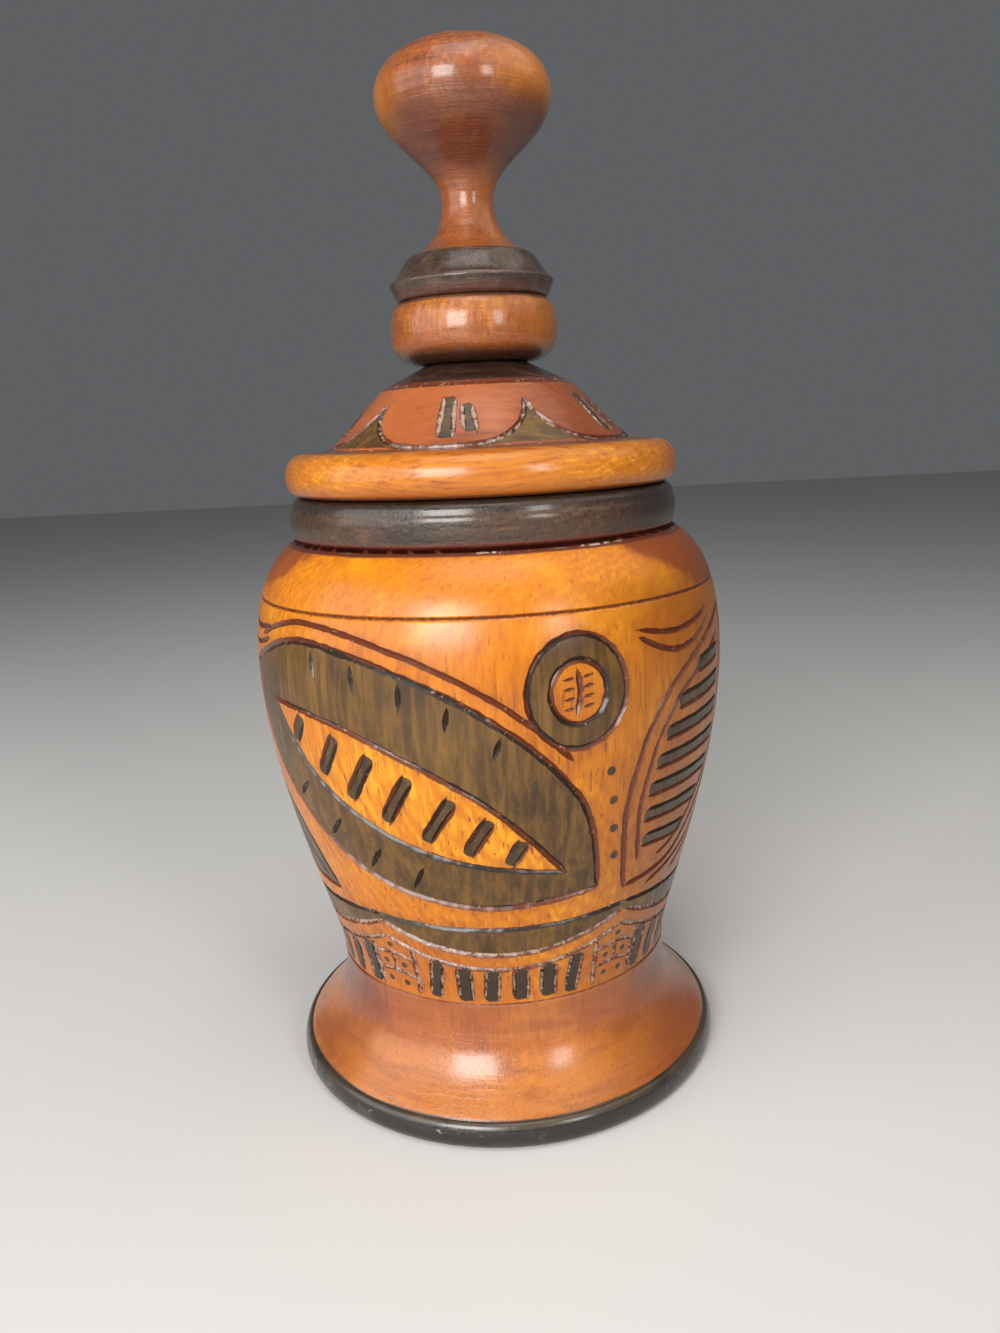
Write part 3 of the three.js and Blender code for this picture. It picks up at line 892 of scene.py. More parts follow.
def make_knob():
    collar_top = bead_top + COLLAR_HEIGHT
    stem = (STEM_RADIUS, bead_top + STEM_HEIGHT)
    ball = (ball_radius, knob_top - BALL_WIDEST_DROP)
    rise = ball[1] - stem[1]
    drop = stem[1] - collar_top
    flare = (COLLAR_TOP_RADIUS - STEM_RADIUS) * 0.43
    collar = [sweep(*((radius, bead_top + up) for radius, up in curve), steps)
              for curve, steps in COLLAR_CURVES]
    stem_run = sweep((COLLAR_TOP_RADIUS, collar_top), (STEM_RADIUS + flare, collar_top + drop * 0.13),
                     (STEM_RADIUS, stem[1] - drop * 0.48), stem, 24)
    ball_run = sweep(stem, (STEM_RADIUS, stem[1] + rise * 0.4), (ball_radius, ball[1] - rise * 0.43),
                     ball, 46)
    bore_end = bead_top + KNOB_BORE
    outline = joined(
        [(BORE_RADIUS, bead_top), (BEAD_TOP_RADIUS, bead_top)],
        *collar,
        lathe_marks(stem_run, 0.09, 3.0),
        lathe_marks(ball_run, 0.11, 7.0),
        lathe_marks(rounded(ball, (0.0, knob_top), 46, 0.6), 0.09, 11.0)[:-1],
        [(0.0, knob_top), (0.0, bore_end), (BORE_RADIUS, bore_end), (BORE_RADIUS, bead_top)],
    )
    return close_up(turned("knob_turned", outline, FINIAL_SIDES), 40, KNOB_SWAY)


# Finishes

class Nodes:
    """A tree of shader nodes being built up."""

    def __init__(self, tree):
        self.tree = tree

    def add(self, kind, feeds=(), **settings):
        """A node with its settings, and its inputs fed by order or by name."""
        node = self.tree.nodes.new(kind)
        for name, value in settings.items():
            setattr(node, name, value)
        self.feed(node, feeds if isinstance(feeds, dict) else dict(enumerate(feeds)))
        return node

    def feed(self, node, feeds):
        """Feed numbers, colours or other sockets to a node's inputs."""
        for socket, value in feeds.items():
            if isinstance(value, bpy.types.NodeSocket):
                self.tree.links.new(value, node.inputs[socket])
            elif node.inputs[socket].type == "RGBA":
                node.inputs[socket].default_value = (*value, 1.0)
            else:
                node.inputs[socket].default_value = value

    def object_place(self):
        return self.add("ShaderNodeTexCoord").outputs["Object"]

    def number(self, operation, first, second=0.0):
        return self.add("ShaderNodeMath", (first, second), operation=operation).outputs[0]

    def vector(self, operation, first, second):
        return self.add("ShaderNodeVectorMath", (first, second), operation=operation).outputs[0]

    def times(self, *values):
        return reduce(lambda first, second: self.number("MULTIPLY", first, second), values)

    def plus(self, *values):
        return reduce(lambda first, second: self.number("ADD", first, second), values)

    def blend(self, factor, first, second):
        """One colour laid over another."""
        return self.add("ShaderNodeMix", {0: factor, 6: first, 7: second}, data_type="RGBA",
                        blend_type="MIX", clamp_factor=True).outputs[2]

    def span(self, value, low, high, out_low=0.0, out_high=1.0):
        """A number carried softly from one range to another, held at the ends."""
        feeds = (value, low, high, out_low, out_high)
        return self.add("ShaderNodeMapRange", feeds, interpolation_type="SMOOTHSTEP").outputs[0]

    def clouds(self, where, scale, detail=3.0, rough=0.55, distortion=0.0):
        feeds = {"Vector": where, "Scale": scale, "Detail": detail, "Roughness": rough,
                 "Distortion": distortion}
        return self.add("ShaderNodeTexNoise", feeds).outputs[0]


class Effect(Nodes):
    """A shared effect: a node group with named inputs and outputs."""

    def __init__(self, name, *inputs):
        super().__init__(bpy.data.node_groups.new(name, "ShaderNodeTree"))
        for label, kind in inputs:
            self.tree.interface.new_socket(label, in_out="INPUT", socket_type=kind)
        self.given = self.add("NodeGroupInput").outputs

    def gives(self, **results):
        for label in results:
            self.tree.interface.new_socket(label, in_out="OUTPUT", socket_type="NodeSocketFloat")
        self.add("NodeGroupOutput", results)
        return self.tree


def wood_figure():
    """Grain drawn out along Z: patches of tone, growth rings, fine streaks and short open pores."""
    effect = Effect("wood_figure", ("Place", "NodeSocketVector"), ("Grain Length", "NodeSocketFloat"))
    where = effect.given["Place"]
    shrink = effect.number("DIVIDE", 1.0, effect.given["Grain Length"])
    squash = effect.add("ShaderNodeCombineXYZ", (1.0, 1.0, shrink)).outputs[0]
    drawn = effect.vector("MULTIPLY", where, squash)
    rings = effect.add("ShaderNodeTexWave",
                       {"Vector": effect.vector("ADD", drawn, (0.034, -0.021, 0.0)), "Scale": 150.0,
                        "Distortion": 9.0, "Detail": 3.0, "Detail Scale": 0.8,
                        "Detail Roughness": 0.6},
                       wave_type="RINGS", rings_direction="Z", wave_profile="SIN")
    streak = effect.clouds(drawn, 330.0, 5.0, 0.66, 0.3)
    pore = effect.span(effect.clouds(drawn, 1000.0, 2.0, 0.5), 0.61, 0.69)
    return effect.gives(
        Patch=effect.clouds(where, 14.0, 3.0, 0.5, 0.8),
        Ring=rings.outputs["Fac"],
        Streak=streak,
        Pore=pore,
        Height=effect.number("SUBTRACT", effect.times(streak, 0.8), pore),
    )


def turning_marks():
    """Level lines that the tool left while the piece turned, and the broad bands of wiped stain."""
    effect = Effect("turning_marks")
    where = effect.object_place()
    lines = effect.clouds(effect.vector("MULTIPLY", where, (0.05, 0.05, 1.0)), 620.0, 4.0, 0.7)
    broken = effect.clouds(where, 60.0, 3.0, 0.6)
    wide = effect.vector("MULTIPLY", where, (0.16, 0.16, 1.0))
    return effect.gives(
        Line=effect.times(effect.span(lines, 0.5, 0.68), effect.span(broken, 0.35, 0.6)),
        Band=effect.span(effect.clouds(wide, 170.0, 4.0, 0.62, 0.5), 0.46, 0.66),
        Height=lines,
    )


def lacquer_skin():
    """Brushed lacquer: a faint uneven relief, with smears that dull it and specks of dust."""
    effect = Effect("lacquer_skin", ("Gloss", "NodeSocketFloat"))
    where = effect.object_place()
    peel = effect.clouds(where, 620.0, 3.0, 0.65)
    swell = effect.clouds(where, 70.0, 2.0, 0.5)
    smear = effect.clouds(where, 26.0, 5.0, 0.65, 1.2)
    speck = effect.span(effect.clouds(where, 1100.0, 1.0, 0.5), 0.755, 0.8)
    wet = effect.number("SUBTRACT", 1.0, effect.given["Gloss"])
    dull = effect.span(smear, 0.35, 0.75, 0.0, 0.2)
    return effect.gives(
        Roughness=effect.plus(wet, dull, effect.times(speck, 0.3)),
        Height=effect.plus(peel, effect.times(swell, 2.0)),
        Speck=speck,
    )


def carved_masks():
    """The cuts, the olive and black stain, the pale fill and painted glints in the cuts, and the grime
    beside the cuts.
    """
    effect = Effect("carved_masks")
    where = effect.object_place()
    cuts, stain, pale_fill_and_glint, halo = (
        effect.add("ShaderNodeAttribute", attribute_name=name).outputs["Fac"]
        for name in ("groove", "stain", "pale_fill_and_glint", "halo")
    )
    ragged = effect.clouds(where, 700.0, 3.0, 0.6)
    groove = effect.span(effect.plus(cuts, effect.times(ragged, 0.8)), 0.7, 1.05)
    worn = effect.plus(stain, effect.times(ragged, 0.3))
    crumbs = effect.clouds(where, 480.0, 3.0, 0.65)
    pale_fill_and_glint_mask = effect.span(effect.plus(effect.times(pale_fill_and_glint, 0.45), crumbs), 0.68, 0.86)
    cloudy = effect.span(effect.clouds(where, 120.0, 4.0, 0.65), 0.3, 0.7)
    return effect.gives(
        Groove=groove,
        Olive=effect.span(worn, 0.32, 0.52),
        Black=effect.span(worn, 0.78, 1.1),
        Chalk=effect.times(pale_fill_and_glint_mask, groove),
        Grime=effect.times(effect.number("POWER", halo, 2.0), cloudy),
    )


WOOD_FIGURE = wood_figure()
TURNING_MARKS = turning_marks()
LACQUER_SKIN = lacquer_skin()
CARVED_MASKS = carved_masks()

# Colours, as light that the surface gives back. A wood has a deep, a middle and a bright tone.
DEEP, MIDDLE, BRIGHT = range(3)
AMBER = ((0.33, 0.080, 0.003), (0.52, 0.158, 0.003), (0.78, 0.320, 0.006))
TERRACOTTA = ((0.22, 0.046, 0.010), (0.37, 0.096, 0.014), (0.54, 0.175, 0.024))
NECK = ((0.014, 0.007, 0.004), (0.050, 0.023, 0.009), (0.130, 0.060, 0.022))
RIM = ((0.30, 0.070, 0.005), (0.47, 0.150, 0.009), (0.68, 0.275, 0.020))
DOME = ((0.19, 0.040, 0.010), (0.34, 0.088, 0.022), (0.43, 0.125, 0.030))
BEAD = ((0.120, 0.024, 0.004), (0.28, 0.072, 0.010), (0.50, 0.172, 0.018))
KNOB = ((0.072, 0.013, 0.003), (0.23, 0.054, 0.011), (0.45, 0.135, 0.022))
INNER = ((0.14, 0.055, 0.020), (0.22, 0.095, 0.036), (0.33, 0.16, 0.065))
PALE = ((0.36, 0.21, 0.10), (0.48, 0.31, 0.16), (0.60, 0.41, 0.23))
# Painted shade: a darker amber laid on the belly's right side, where less light falls
AMBER_PAINTED_SHADE = (0.170, 0.048, 0.004)
AMBER_SHOULDER = (0.52, 0.150, 0.003)
FOOT_GOLD = (0.56, 0.185, 0.012)
# Painted light: a warm glow laid on the knob's ball and stem
KNOB_PAINTED_LIGHT = (0.62, 0.215, 0.030)
RED_STAIN = (0.135, 0.022, 0.006)
SPILL_RED = (0.190, 0.032, 0.004)
OLIVE_DARK = (0.044, 0.020, 0.004)
OLIVE_LIGHT = (0.170, 0.080, 0.012)
STAIN_BLACK = (0.022, 0.013, 0.007)
GROOVE_RED = (0.095, 0.017, 0.006)
GROOVE_BLACK = (0.016, 0.009, 0.006)
# Pale fill left in the cuts; at small shares it is a painted glint in them
FILLER_AND_GLINT = (0.47, 0.34, 0.26)
PORE_BROWN = (0.14, 0.032, 0.005)
EBONY = (0.008, 0.006, 0.006)
EBONY_WORN = (0.060, 0.040, 0.022)
SCUFF_GREY = (0.26, 0.24, 0.22)
COLLAR_DARK = (0.020, 0.009, 0.006)
COLLAR_MIDDLE = (0.088, 0.052, 0.032)
COLLAR_LIGHT = (0.085, 0.045, 0.027)

# Heights that lie below and above everything in the zones that use them
FAR_BELOW = 200
FAR_ABOVE = 400


class Finish(Nodes):
    """One wood finish being built up: its tree, its places, and the colour so far."""

    def __init__(self, name, gloss, grain_length=12.0, level_grain=False):
        self.material = bpy.data.materials.new(name)
        self.material.use_nodes = True
        super().__init__(self.material.node_tree)
        self.where = self.object_place()
        parts = self.add("ShaderNodeSeparateXYZ", [self.where]).outputs
        self.height = parts["Z"]
        self.across = parts["X"]
        place = self.where
        if level_grain:
            place = self.add("ShaderNodeCombineXYZ", (self.height, parts["Y"], self.across)).outputs[0]
        self.grain = self.use(WOOD_FIGURE, place, grain_length)
        self.skin = self.use(LACQUER_SKIN, gloss)
        self.rough = self.skin["Roughness"]
        self.relief = self.skin["Height"]

    def use(self, group, *values):
        """Place a shared effect, give it this material's values, and return its outputs."""
        return self.add("ShaderNodeGroup", values, node_tree=group).outputs

    def figured(self, tones, patch=0.5, ring=0.05, streak=0.45):
        """Three tones of wood, laid by its patches, growth rings and streaks."""
        mixed = self.plus(self.times(self.grain["Patch"], patch), self.times(self.grain["Ring"], ring),
                          self.times(self.grain["Streak"], streak))
        lower = self.blend(self.span(mixed, 0.34, 0.5), tones[DEEP], tones[MIDDLE])
        return self.blend(self.span(mixed, 0.5, 0.68), lower, tones[BRIGHT])

    def wood(self, tones, pores=0.5, **shares):
        self.tone = self.figured(tones, **shares)
        self.lay(PORE_BROWN, self.grain["Pore"], pores)

    def lay(self, tint, *masks):
        """Lay a tint over the colour so far, as far as its masks and share let it."""
        self.tone = self.blend(self.times(*masks), self.tone, tint)

    def cloud(self, scale, low, high, detail=4.0):
        """A mask of scattered patches."""
        return self.span(self.clouds(self.where, scale, detail, 0.6, 0.6), low, high)

    def zone(self, low, high, soft=0.5, wander=0.0):
        """A mask between two heights in millimetres, with soft and wandering edges."""
        height = self.height
        if wander:
            drift = self.number("SUBTRACT", self.clouds(self.where, 40.0), 0.5)
            height = self.plus(height, self.times(drift, 2 * wander * MM))
        rise = self.span(height, (low - soft) * MM, (low + soft) * MM)
        fall = self.span(height, (high - soft) * MM, (high + soft) * MM, 1.0, 0.0)
        return self.times(rise, fall)

    def flanks(self, low, high):
        """A mask that grows towards the left and right sides."""
        return self.span(self.number("ABSOLUTE", self.across), low * MM, high * MM)

    def sideways(self, low, high):
        """A mask that grows across the jar: to the right where high is above low, or to the left."""
        return self.span(self.across, low * MM, high * MM)

    def spill(self):
        """Red stain that widens from under the neck down to the scored line, most on the right."""
        level = self.plus(self.height, self.times(self.clouds(self.where, 60.0, 4.0), 0.016))
        right = self.span(self.plus(level, self.times(self.across, 0.55)), 0.2675, 0.2715)
        left = self.span(self.plus(level, self.times(self.across, -0.55)), 0.2765, 0.2805)
        shoulder = self.zone(belly_top - SHOULDER_SCORE_DROP, belly_top + 4)
        return self.times(self.number("MAXIMUM", right, left), shoulder)

    def stained(self, deep, bright):
        """Stain that lets the grain show through as lighter streaks."""
        streak = self.span(self.grain["Streak"], 0.38, 0.7)
        mixed = self.plus(self.times(streak, 0.65), self.times(self.cloud(40.0, 0.35, 0.7), 0.35))
        return self.blend(mixed, deep, bright)

    def carved(self):
        """Stain in the fields, dark cuts, grime beside them, and pale fill in some cuts, with painted
        glints in others.
        """
        masks = self.use(CARVED_MASKS)
        self.lay(RED_STAIN, masks["Grime"], 0.38)
        self.lay(self.stained(OLIVE_DARK, OLIVE_LIGHT), masks["Olive"])
        self.lay(STAIN_BLACK, masks["Black"], 0.85)
        self.lay(self.blend(masks["Olive"], GROOVE_RED, GROOVE_BLACK), masks["Groove"], 0.92)
        # Pale fill in the cuts, and painted glints where the share is small
        self.lay(FILLER_AND_GLINT, masks["Chalk"], 0.75)
        self.rough = self.plus(self.rough, self.times(masks["Olive"], 0.06),
                               self.times(masks["Chalk"], 0.3))

    def turned_lines(self, share, tint, bands=0.3):
        """Level tool lines, in the colour and in the relief, over broader bands of stain."""
        marks = self.use(TURNING_MARKS)
        self.lay(tint, marks["Band"], bands)
        self.lay(tint, marks["Line"], share)
        self.relief = self.plus(self.relief, self.times(marks["Height"], 4.0 * share))

    def dusty(self, share):
        self.lay(SCUFF_GREY, self.skin["Speck"], share)

    def done(self, coat=0.6, coat_roughness=0.2, bump=0.12, grain_bump=0.2, shine=0.25):
        normal = None
        for strength, distance, height in ((bump, 0.0006, self.relief),
                                           (grain_bump, 0.0002, self.grain["Height"])):
            feeds = {"Strength": strength, "Distance": distance, "Height": height}
            if normal:
                feeds["Normal"] = normal
            normal = self.add("ShaderNodeBump", feeds).outputs[0]
        self.feed(self.tree.nodes["Principled BSDF"], {
            "Base Color": self.tone, "Roughness": self.rough, "Normal": normal,
            "Coat Weight": coat, "Coat Roughness": coat_roughness, "Specular IOR Level": shine,
        })
        return self.material


def belly_finish():
    finish = Finish("amber_carved_wood", gloss=0.64)
    finish.wood(AMBER, pores=0.7, patch=0.5, ring=0.07, streak=0.43)
    shoulder = finish.zone(190, 244, 14)
    finish.lay(AMBER_SHOULDER, shoulder, 0.4)
    finish.lay(AMBER[BRIGHT], finish.cloud(30.0, 0.5, 0.68), shoulder, 0.4)
    finish.lay(SPILL_RED, finish.spill(), 0.9)
    finish.lay(AMBER[DEEP], finish.cloud(24.0, 0.52, 0.7), shoulder, 0.45)
    finish.lay(TERRACOTTA[MIDDLE], finish.zone(30, 76, 14, 8), 0.5)
    # Painted shade: the belly's right side darkened below the shoulder
    finish.lay(AMBER_PAINTED_SHADE, finish.sideways(10, 80), finish.zone(40, 224, 8), 0.6)
    # Painted shade: the belly darkened at its far left edge, where it turns away
    finish.lay(AMBER[DEEP], finish.sideways(-80, -99), 0.5)
    finish.carved()
    finish.lay(GROOVE_RED, finish.zone(belly_top - 2.4, belly_top + 3, 0.4, 0.6))
    # Painted highlight: a broken pale line of glints in the lacquered groove under the neck ring
    finish.lay(FILLER_AND_GLINT, finish.zone(belly_top - 1.7, belly_top - 1.0, 0.25, 0.4),
               finish.cloud(260.0, 0.5, 0.6, 2.0), finish.cloud(20.0, 0.45, 0.6))
    finish.dusty(0.35)
    return finish.done(coat=0.55, coat_roughness=0.25, bump=0.22, shine=0.22)


def foot_finish():
    finish = Finish("terracotta_wood", gloss=0.7)
    finish.wood(TERRACOTTA, pores=0.15, patch=0.72, ring=0.02, streak=0.26)
    finish.lay(FOOT_GOLD, finish.zone(5, 30, 8, 5), finish.cloud(9.0, 0.25, 0.6), 0.5)
    # Painted shade: the foot darkened towards its right side
    finish.lay(TERRACOTTA[DEEP], finish.sideways(18, 78), 0.72)
    waist = finish.zone(34, 60, 7, 5)
    finish.lay(RED_STAIN, waist, 0.18)
    # Painted shade: darker at the left and right of the waist, under the belly's overhang
    finish.lay(COLLAR_DARK, waist, finish.flanks(46, 70), 0.5)
    finish.turned_lines(0.3, TERRACOTTA[DEEP], bands=0.4)
    finish.lay(GROOVE_RED, finish.use(CARVED_MASKS)["Groove"], 0.8)
    ring = finish.zone(-5, BASE_RING_HEIGHT, 0.25, 0.5)
    finish.lay(EBONY, ring)
    bevel = finish.zone(BASE_RING_HEIGHT - 2.2, BASE_RING_HEIGHT, 0.5, 0.6)
    finish.lay(EBONY_WORN, bevel, finish.cloud(30.0, 0.25, 0.6))
    finish.lay(EBONY_WORN, finish.cloud(110.0, 0.57, 0.67, 5.0), ring, 0.5)
    finish.lay(SCUFF_GREY, finish.cloud(190.0, 0.665, 0.71, 3.0), ring, 0.7)
    finish.dusty(0.5)
    return finish.done(coat=0.75, coat_roughness=0.2, bump=0.4, grain_bump=0.8, shine=0.4)


def neck_finish():
    finish = Finish("dark_lacquered_wood", gloss=0.66, grain_length=6.0, level_grain=True)
    finish.wood(NECK, pores=0.0)
    finish.lay(NECK[BRIGHT], finish.cloud(30.0, 0.54, 0.72), 0.5)
    # Painted shade: the neck ring darkened towards its right side
    finish.lay(NECK[DEEP], finish.sideways(30, 74), 0.9)
    finish.lay(GROOVE_RED, finish.zone(belly_top - 3, belly_top + 2.0, 0.7, 0.8))
    # Painted shade: the neck ring's top edge darkened, under the lid's rim
    finish.lay(NECK[DEEP], finish.zone(neck_top - 4.5, neck_top + 2, 1.2, 1.2), 0.8)
    finish.dusty(0.6)
    return finish.done(coat=0.7, coat_roughness=0.2, bump=0.8, grain_bump=1.0, shine=0.4)


def lid_finish():
    finish = Finish("amber_and_red_wood", gloss=0.66, grain_length=9.0, level_grain=True)
    finish.wood(RIM, patch=0.42, ring=0.06, streak=0.52)
    rim_base = neck_top + GAP
    # Painted shade: the rim's lower edge darkened, over the gap above the neck ring
    finish.lay(RIM[DEEP], finish.zone(rim_base - 5, rim_base + 4.5, 2.5, 1.5), 0.6)
    finish.lay(RIM[DEEP], finish.flanks(70, 81), 0.5)
    finish.lay(RIM[DEEP], finish.sideways(-72, -86), 0.5)
    dome_foot = rim_base + RIM_HEIGHT + LEDGE_RISE
    finish.lay(finish.figured(DOME, patch=0.66, ring=0.02, streak=0.32),
               finish.zone(dome_foot - 0.4, FAR_ABOVE, 0.3, 0.2))
    # Painted shade: the dome darkened towards its right side
    finish.lay(DOME[DEEP], finish.sideways(2, 50), finish.zone(dome_foot, FAR_ABOVE, 0.3), 0.65)
    crown = lid_top - CROWN_HEIGHT
    finish.lay(finish.stained(COLLAR_DARK, COLLAR_LIGHT), finish.zone(crown + 0.5, FAR_ABOVE, 0.4, 0.3))
    finish.carved()
    foot_line = finish.zone(dome_foot - 0.8, dome_foot + 0.2, 0.25, 0.2)
    finish.lay(GROOVE_RED, foot_line, 0.8)
    # Pale fill and a painted highlight along the dome's foot line and the crown's scored line
    lines = finish.plus(foot_line, finish.zone(crown - 1.0, crown + 0.7, 0.3, 0.2))
    finish.lay(FILLER_AND_GLINT, lines, finish.cloud(420.0, 0.56, 0.66, 2.0), 0.45)
    finish.lay(GROOVE_RED, finish.zone(FAR_BELOW, rim_base + 1.4, 0.7, 0.5), 0.8)
    finish.dusty(0.3)
    return finish.done()


FINIAL_FIGURE = {"patch": 0.6, "ring": 0.03, "streak": 0.37}
FINIAL_LACQUER = {"coat": 0.65, "coat_roughness": 0.17, "bump": 0.4, "grain_bump": 0.6, "shine": 0.4}


def bead_finish():
    finish = Finish("orange_brown_wood", gloss=0.74, grain_length=6.0)
    finish.wood(BEAD, pores=0.4, **FINIAL_FIGURE)
    finish.turned_lines(0.6, BEAD[DEEP])
    # Painted light: the bead brightened towards its right side
    finish.lay(BEAD[BRIGHT], finish.sideways(10, 34), 0.5)
    # Painted shade: the bead darkened in the crevices where it meets the lid and under the collar
    finish.lay(COLLAR_DARK, finish.zone(FAR_BELOW, lid_top + 4.5, 2.5, 1), 0.85)
    finish.lay(COLLAR_DARK, finish.zone(bead_top - 1.6, FAR_ABOVE, 0.7, 1), 0.8)
    finish.dusty(0.3)
    return finish.done(**FINIAL_LACQUER)


def knob_finish():
    finish = Finish("red_brown_wood", gloss=0.74, grain_length=4.0)
    finish.wood(KNOB, pores=0.2, **FINIAL_FIGURE)
    finish.turned_lines(0.75, KNOB[DEEP])
    # Painted shade: the lower half of the ball darkened, on its underside
    finish.lay(KNOB[DEEP], finish.zone(bead_top + 46, knob_top - 24, 8, 3), 0.7)
    # Painted light: the ball brightened at its left and right sides, in patches
    finish.lay(BEAD[BRIGHT], finish.flanks(18, 34), finish.cloud(30.0, 0.35, 0.6), 0.5)
    upper_ball = finish.zone(knob_top - 28, knob_top + 4, 6, 3)
    # Painted light: a warm glow on the upper ball, strongest on its right side and fainter on its left
    finish.lay(KNOB_PAINTED_LIGHT, finish.sideways(6, 30), upper_ball, 0.6)
    finish.lay(KNOB_PAINTED_LIGHT, finish.sideways(-14, -34), upper_ball, 0.2)
    lower_ball = finish.zone(bead_top + 44, knob_top - 24, 6, 3)
    # Painted shade: the lower right of the ball darkened
    finish.lay(KNOB[DEEP], finish.sideways(4, 26), lower_ball, 0.6)
    stem = finish.zone(bead_top + 18, bead_top + 46, 7, 3)
    # Painted light: the stem brightened overall
    finish.lay(KNOB[BRIGHT], stem, 0.2)
    # Painted light: a warm glow on the stem's right side
    finish.lay(KNOB_PAINTED_LIGHT, stem, finish.sideways(2, 12), 0.3)
    collar_top = bead_top + COLLAR_HEIGHT
    finish.lay(finish.stained(COLLAR_DARK, COLLAR_MIDDLE),
               finish.zone(FAR_BELOW, collar_top - 0.2, 0.3, 0.3))
    edges = finish.plus(finish.zone(bead_top + 6.4, bead_top + 7.5, 0.4, 0.4),
                        finish.zone(collar_top - 1.3, collar_top - 0.3, 0.3, 0.3))
    finish.lay(COLLAR_LIGHT, edges, finish.cloud(60.0, 0.3, 0.6))
    finish.lay(RED_STAIN, finish.zone(bead_top - 1, bead_top + 4.0, 1.2, 0.8), 0.3)
    finish.dusty(0.35)
    return finish.done(**FINIAL_LACQUER)


def inner_finish():
    finish = Finish("inside_wood", gloss=0.4)
    finish.wood(INNER, pores=0.6)
    finish.turned_lines(0.5, INNER[DEEP])
    return finish.done(coat=0.05, coat_roughness=0.3, bump=0.2, grain_bump=0.5)


def dowel_finish():
    finish = Finish("bare_wood", gloss=0.35)
    finish.wood(PALE)
    return finish.done(coat=0.0, coat_roughness=0.3, bump=0.1, grain_bump=0.5)


def put_finishes(piece, *finishes):
    piece.data.materials.clear()
    for finish in finishes:
        piece.data.materials.append(finish)


def dress(piece, body, node, slot_name, *finishes):
    """Give a piece its finishes, set it on its body, and let it stand for its node."""
    put_finishes(piece, *finishes)
    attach(piece, body)
    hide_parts(node)


def line_inside(piece, chooser):
    """Use the second finish on the faces that a chooser picks by radius, height and slope."""
    faces = piece.data.polygons
    centres = np.zeros(len(faces) * 3, np.float32)
    normals = np.zeros(len(faces) * 3, np.float32)
    faces.foreach_get("center", centres)
    faces.foreach_get("normal", normals)
    x, y, height = centres.reshape(-1, 3).T / MM
    chosen = chooser(np.hypot(x, y), height, normals.reshape(-1, 3)[:, 2])
    faces.foreach_set("material_index", chosen.astype(np.int32))
    piece.data.update()


# Camera, lights and floor

FOCAL_PIXELS = 1020.0
FRAME_HEIGHT = 1333.0
SENSOR = 36.0
CAMERA_PLACE = (0.0, -0.445, 0.2784)
CAMERA_PITCH = 0.2296
CAMERA_ROLL = -0.0476
CAMERA_YAW = -0.0093
LIT_PLACE = (0.0, 0.0, 0.24)

# Each soft box: name, azimuth from the camera, elevation, distance, width, height, power, tint
LIGHTS = (
    ("window", -22, 18, 1.3, 0.6, 0.56, 17, (1.0, 0.98, 0.95)),
    ("second_window", 32, 16, 1.4, 0.26, 0.5, 5, (1.0, 0.97, 0.93)),
    ("left_window", -66, 17, 1.4, 1.3, 1.0, 9, (1.0, 0.98, 0.95)),
    ("right_glow", 66, 58, 0.78, 1.0, 0.9, 2.7, (1.0, 0.93, 0.82)),
    ("ceiling", -10, 72, 1.5, 1.0, 1.0, 7, (1.0, 0.98, 0.96)),
)


def make_camera():
    data = bpy.data.cameras.new("photo_camera")
    data.sensor_width = SENSOR
    data.lens = FOCAL_PIXELS / FRAME_HEIGHT * SENSOR
    data.clip_start = 0.01
    data.clip_end = 20.0
    camera = add_object("photo_camera", data)
    turn = (Matrix.Rotation(CAMERA_YAW, 4, "Z")
            @ Matrix.Rotation(math.pi / 2 - CAMERA_PITCH, 4, "X")
            @ Matrix.Rotation(CAMERA_ROLL, 4, "Z"))
    camera.matrix_world = Matrix.Translation(CAMERA_PLACE) @ turn
    bpy.context.scene.camera = camera


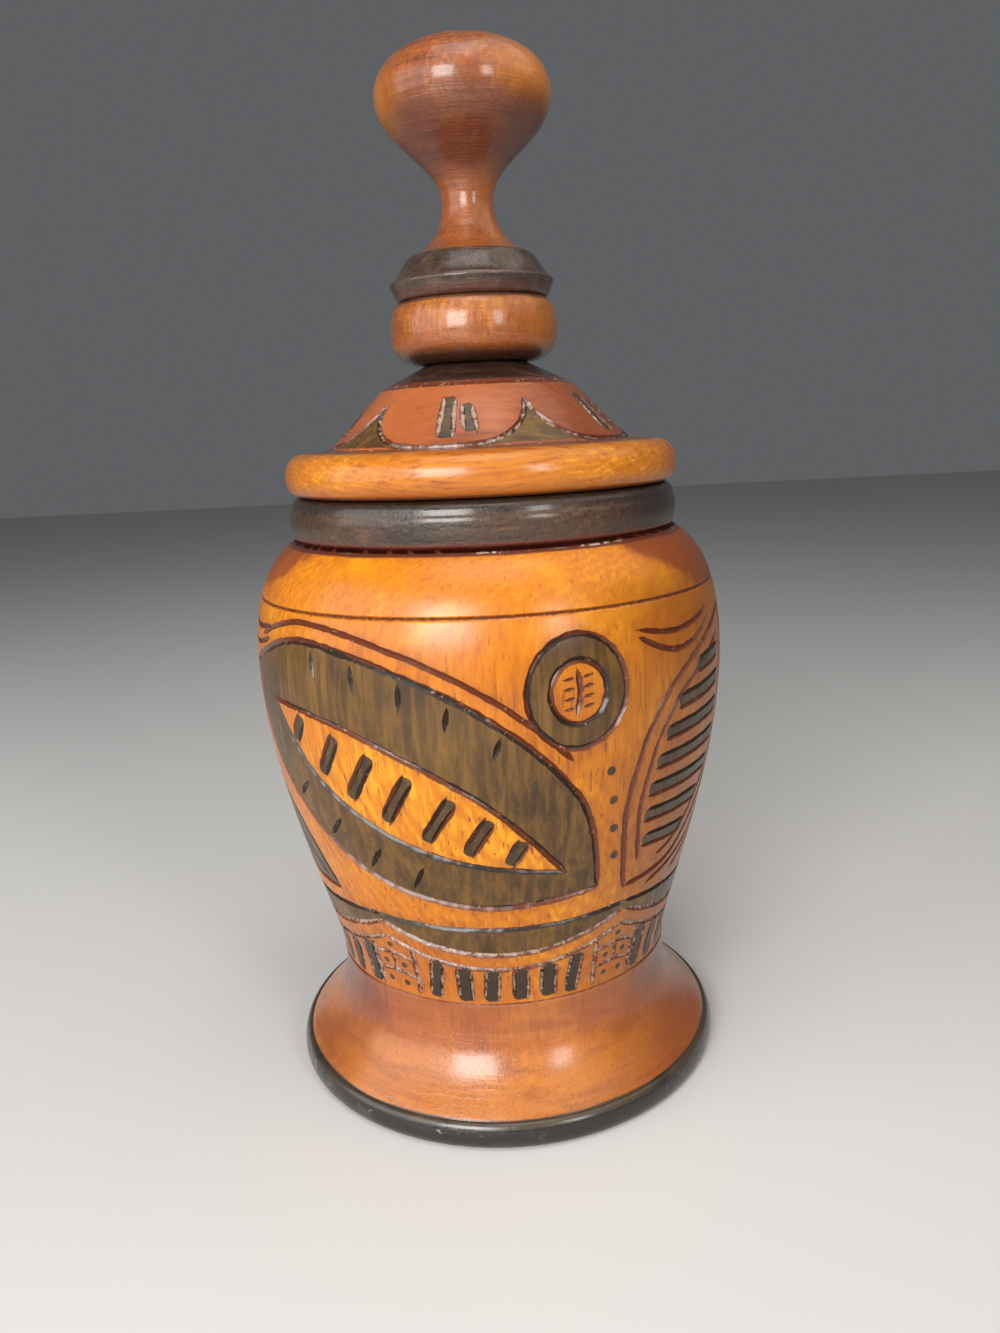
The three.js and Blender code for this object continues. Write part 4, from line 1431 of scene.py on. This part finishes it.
def make_light(name, azimuth, elevation, distance, width, height, power, tint):
    """A soft box that looks at the jar's middle."""
    around, up = math.radians(azimuth), math.radians(elevation)
    way = Vector((math.sin(around) * math.cos(up), -math.cos(around) * math.cos(up), math.sin(up)))
    data = bpy.data.lights.new(name, "AREA")
    data.shape = "RECTANGLE"
    data.size = width
    data.size_y = height
    data.energy = power
    data.color = tint
    light = add_object(name, data)
    light.location = Vector(LIT_PLACE) + way * distance
    light.rotation_euler = (-way).to_track_quat("-Z", "Y").to_euler()


def make_stage():
    bpy.ops.object.select_all(action="DESELECT")
    bpy.ops.mesh.primitive_plane_add(size=8.0, location=(0, 0, 0))
    floor = bpy.context.active_object
    floor.name = "studio_floor"
    material = bpy.data.materials.new("pale_floor")
    material.use_nodes = True
    nodes = Nodes(material.node_tree)
    mottle = nodes.clouds(nodes.object_place(), 5.0)
    tone = nodes.blend(mottle, (0.60, 0.60, 0.60), (0.64, 0.635, 0.63))
    nodes.feed(nodes.tree.nodes["Principled BSDF"], {"Base Color": tone, "Roughness": 0.85})
    put_finishes(floor, material)
    world = bpy.data.worlds.new("studio")
    bpy.context.scene.world = world
    world.use_nodes = True
    sky = Nodes(world.node_tree)
    sky.feed(sky.tree.nodes["Background"], {"Color": (0.75, 0.78, 0.82), "Strength": 0.15})
    bpy.context.scene.view_settings.view_transform = "Standard"


make_camera()
for light in LIGHTS:
    make_light(*light)
make_stage()

foot = make_foot()
belly = make_belly()
neck_ring = make_neck_ring()
lid = make_lid()
bead = make_bead()
knob = make_knob()

inner = inner_finish()
dress(foot, "jar", "foot", "red_wood", foot_finish(), inner)
dress(belly, "jar", "belly", "amber_wood", belly_finish(), inner)
dress(neck_ring, "jar", "neck_ring", "dark_wood", neck_finish(), inner)
dress(lid, "lid", "lid", "lid_wood", lid_finish(), inner)
dress(bead, "lid", "finial_bead", "bead_wood", bead_finish())
dress(knob, "lid", "finial_knob", "knob_wood", knob_finish())
put_finishes(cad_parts["finial_dowel"], dowel_finish())

belly_radii, belly_heights = np.array(belly_outline()).T
line_inside(foot, lambda radius, height, slope: (slope < -0.9) | (radius < TENON_RADIUS + 1))
line_inside(belly, lambda radius, height, slope: (radius < MOUTH_RADIUS + 0.5) | (
    (height < belly_top - 3) & (radius < np.interp(height, belly_heights, belly_radii) - 5)))
line_inside(neck_ring, lambda radius, height, slope: radius < MOUTH_RADIUS + 0.4)
line_inside(lid, lambda radius, height, slope: height < neck_top + 0.2)
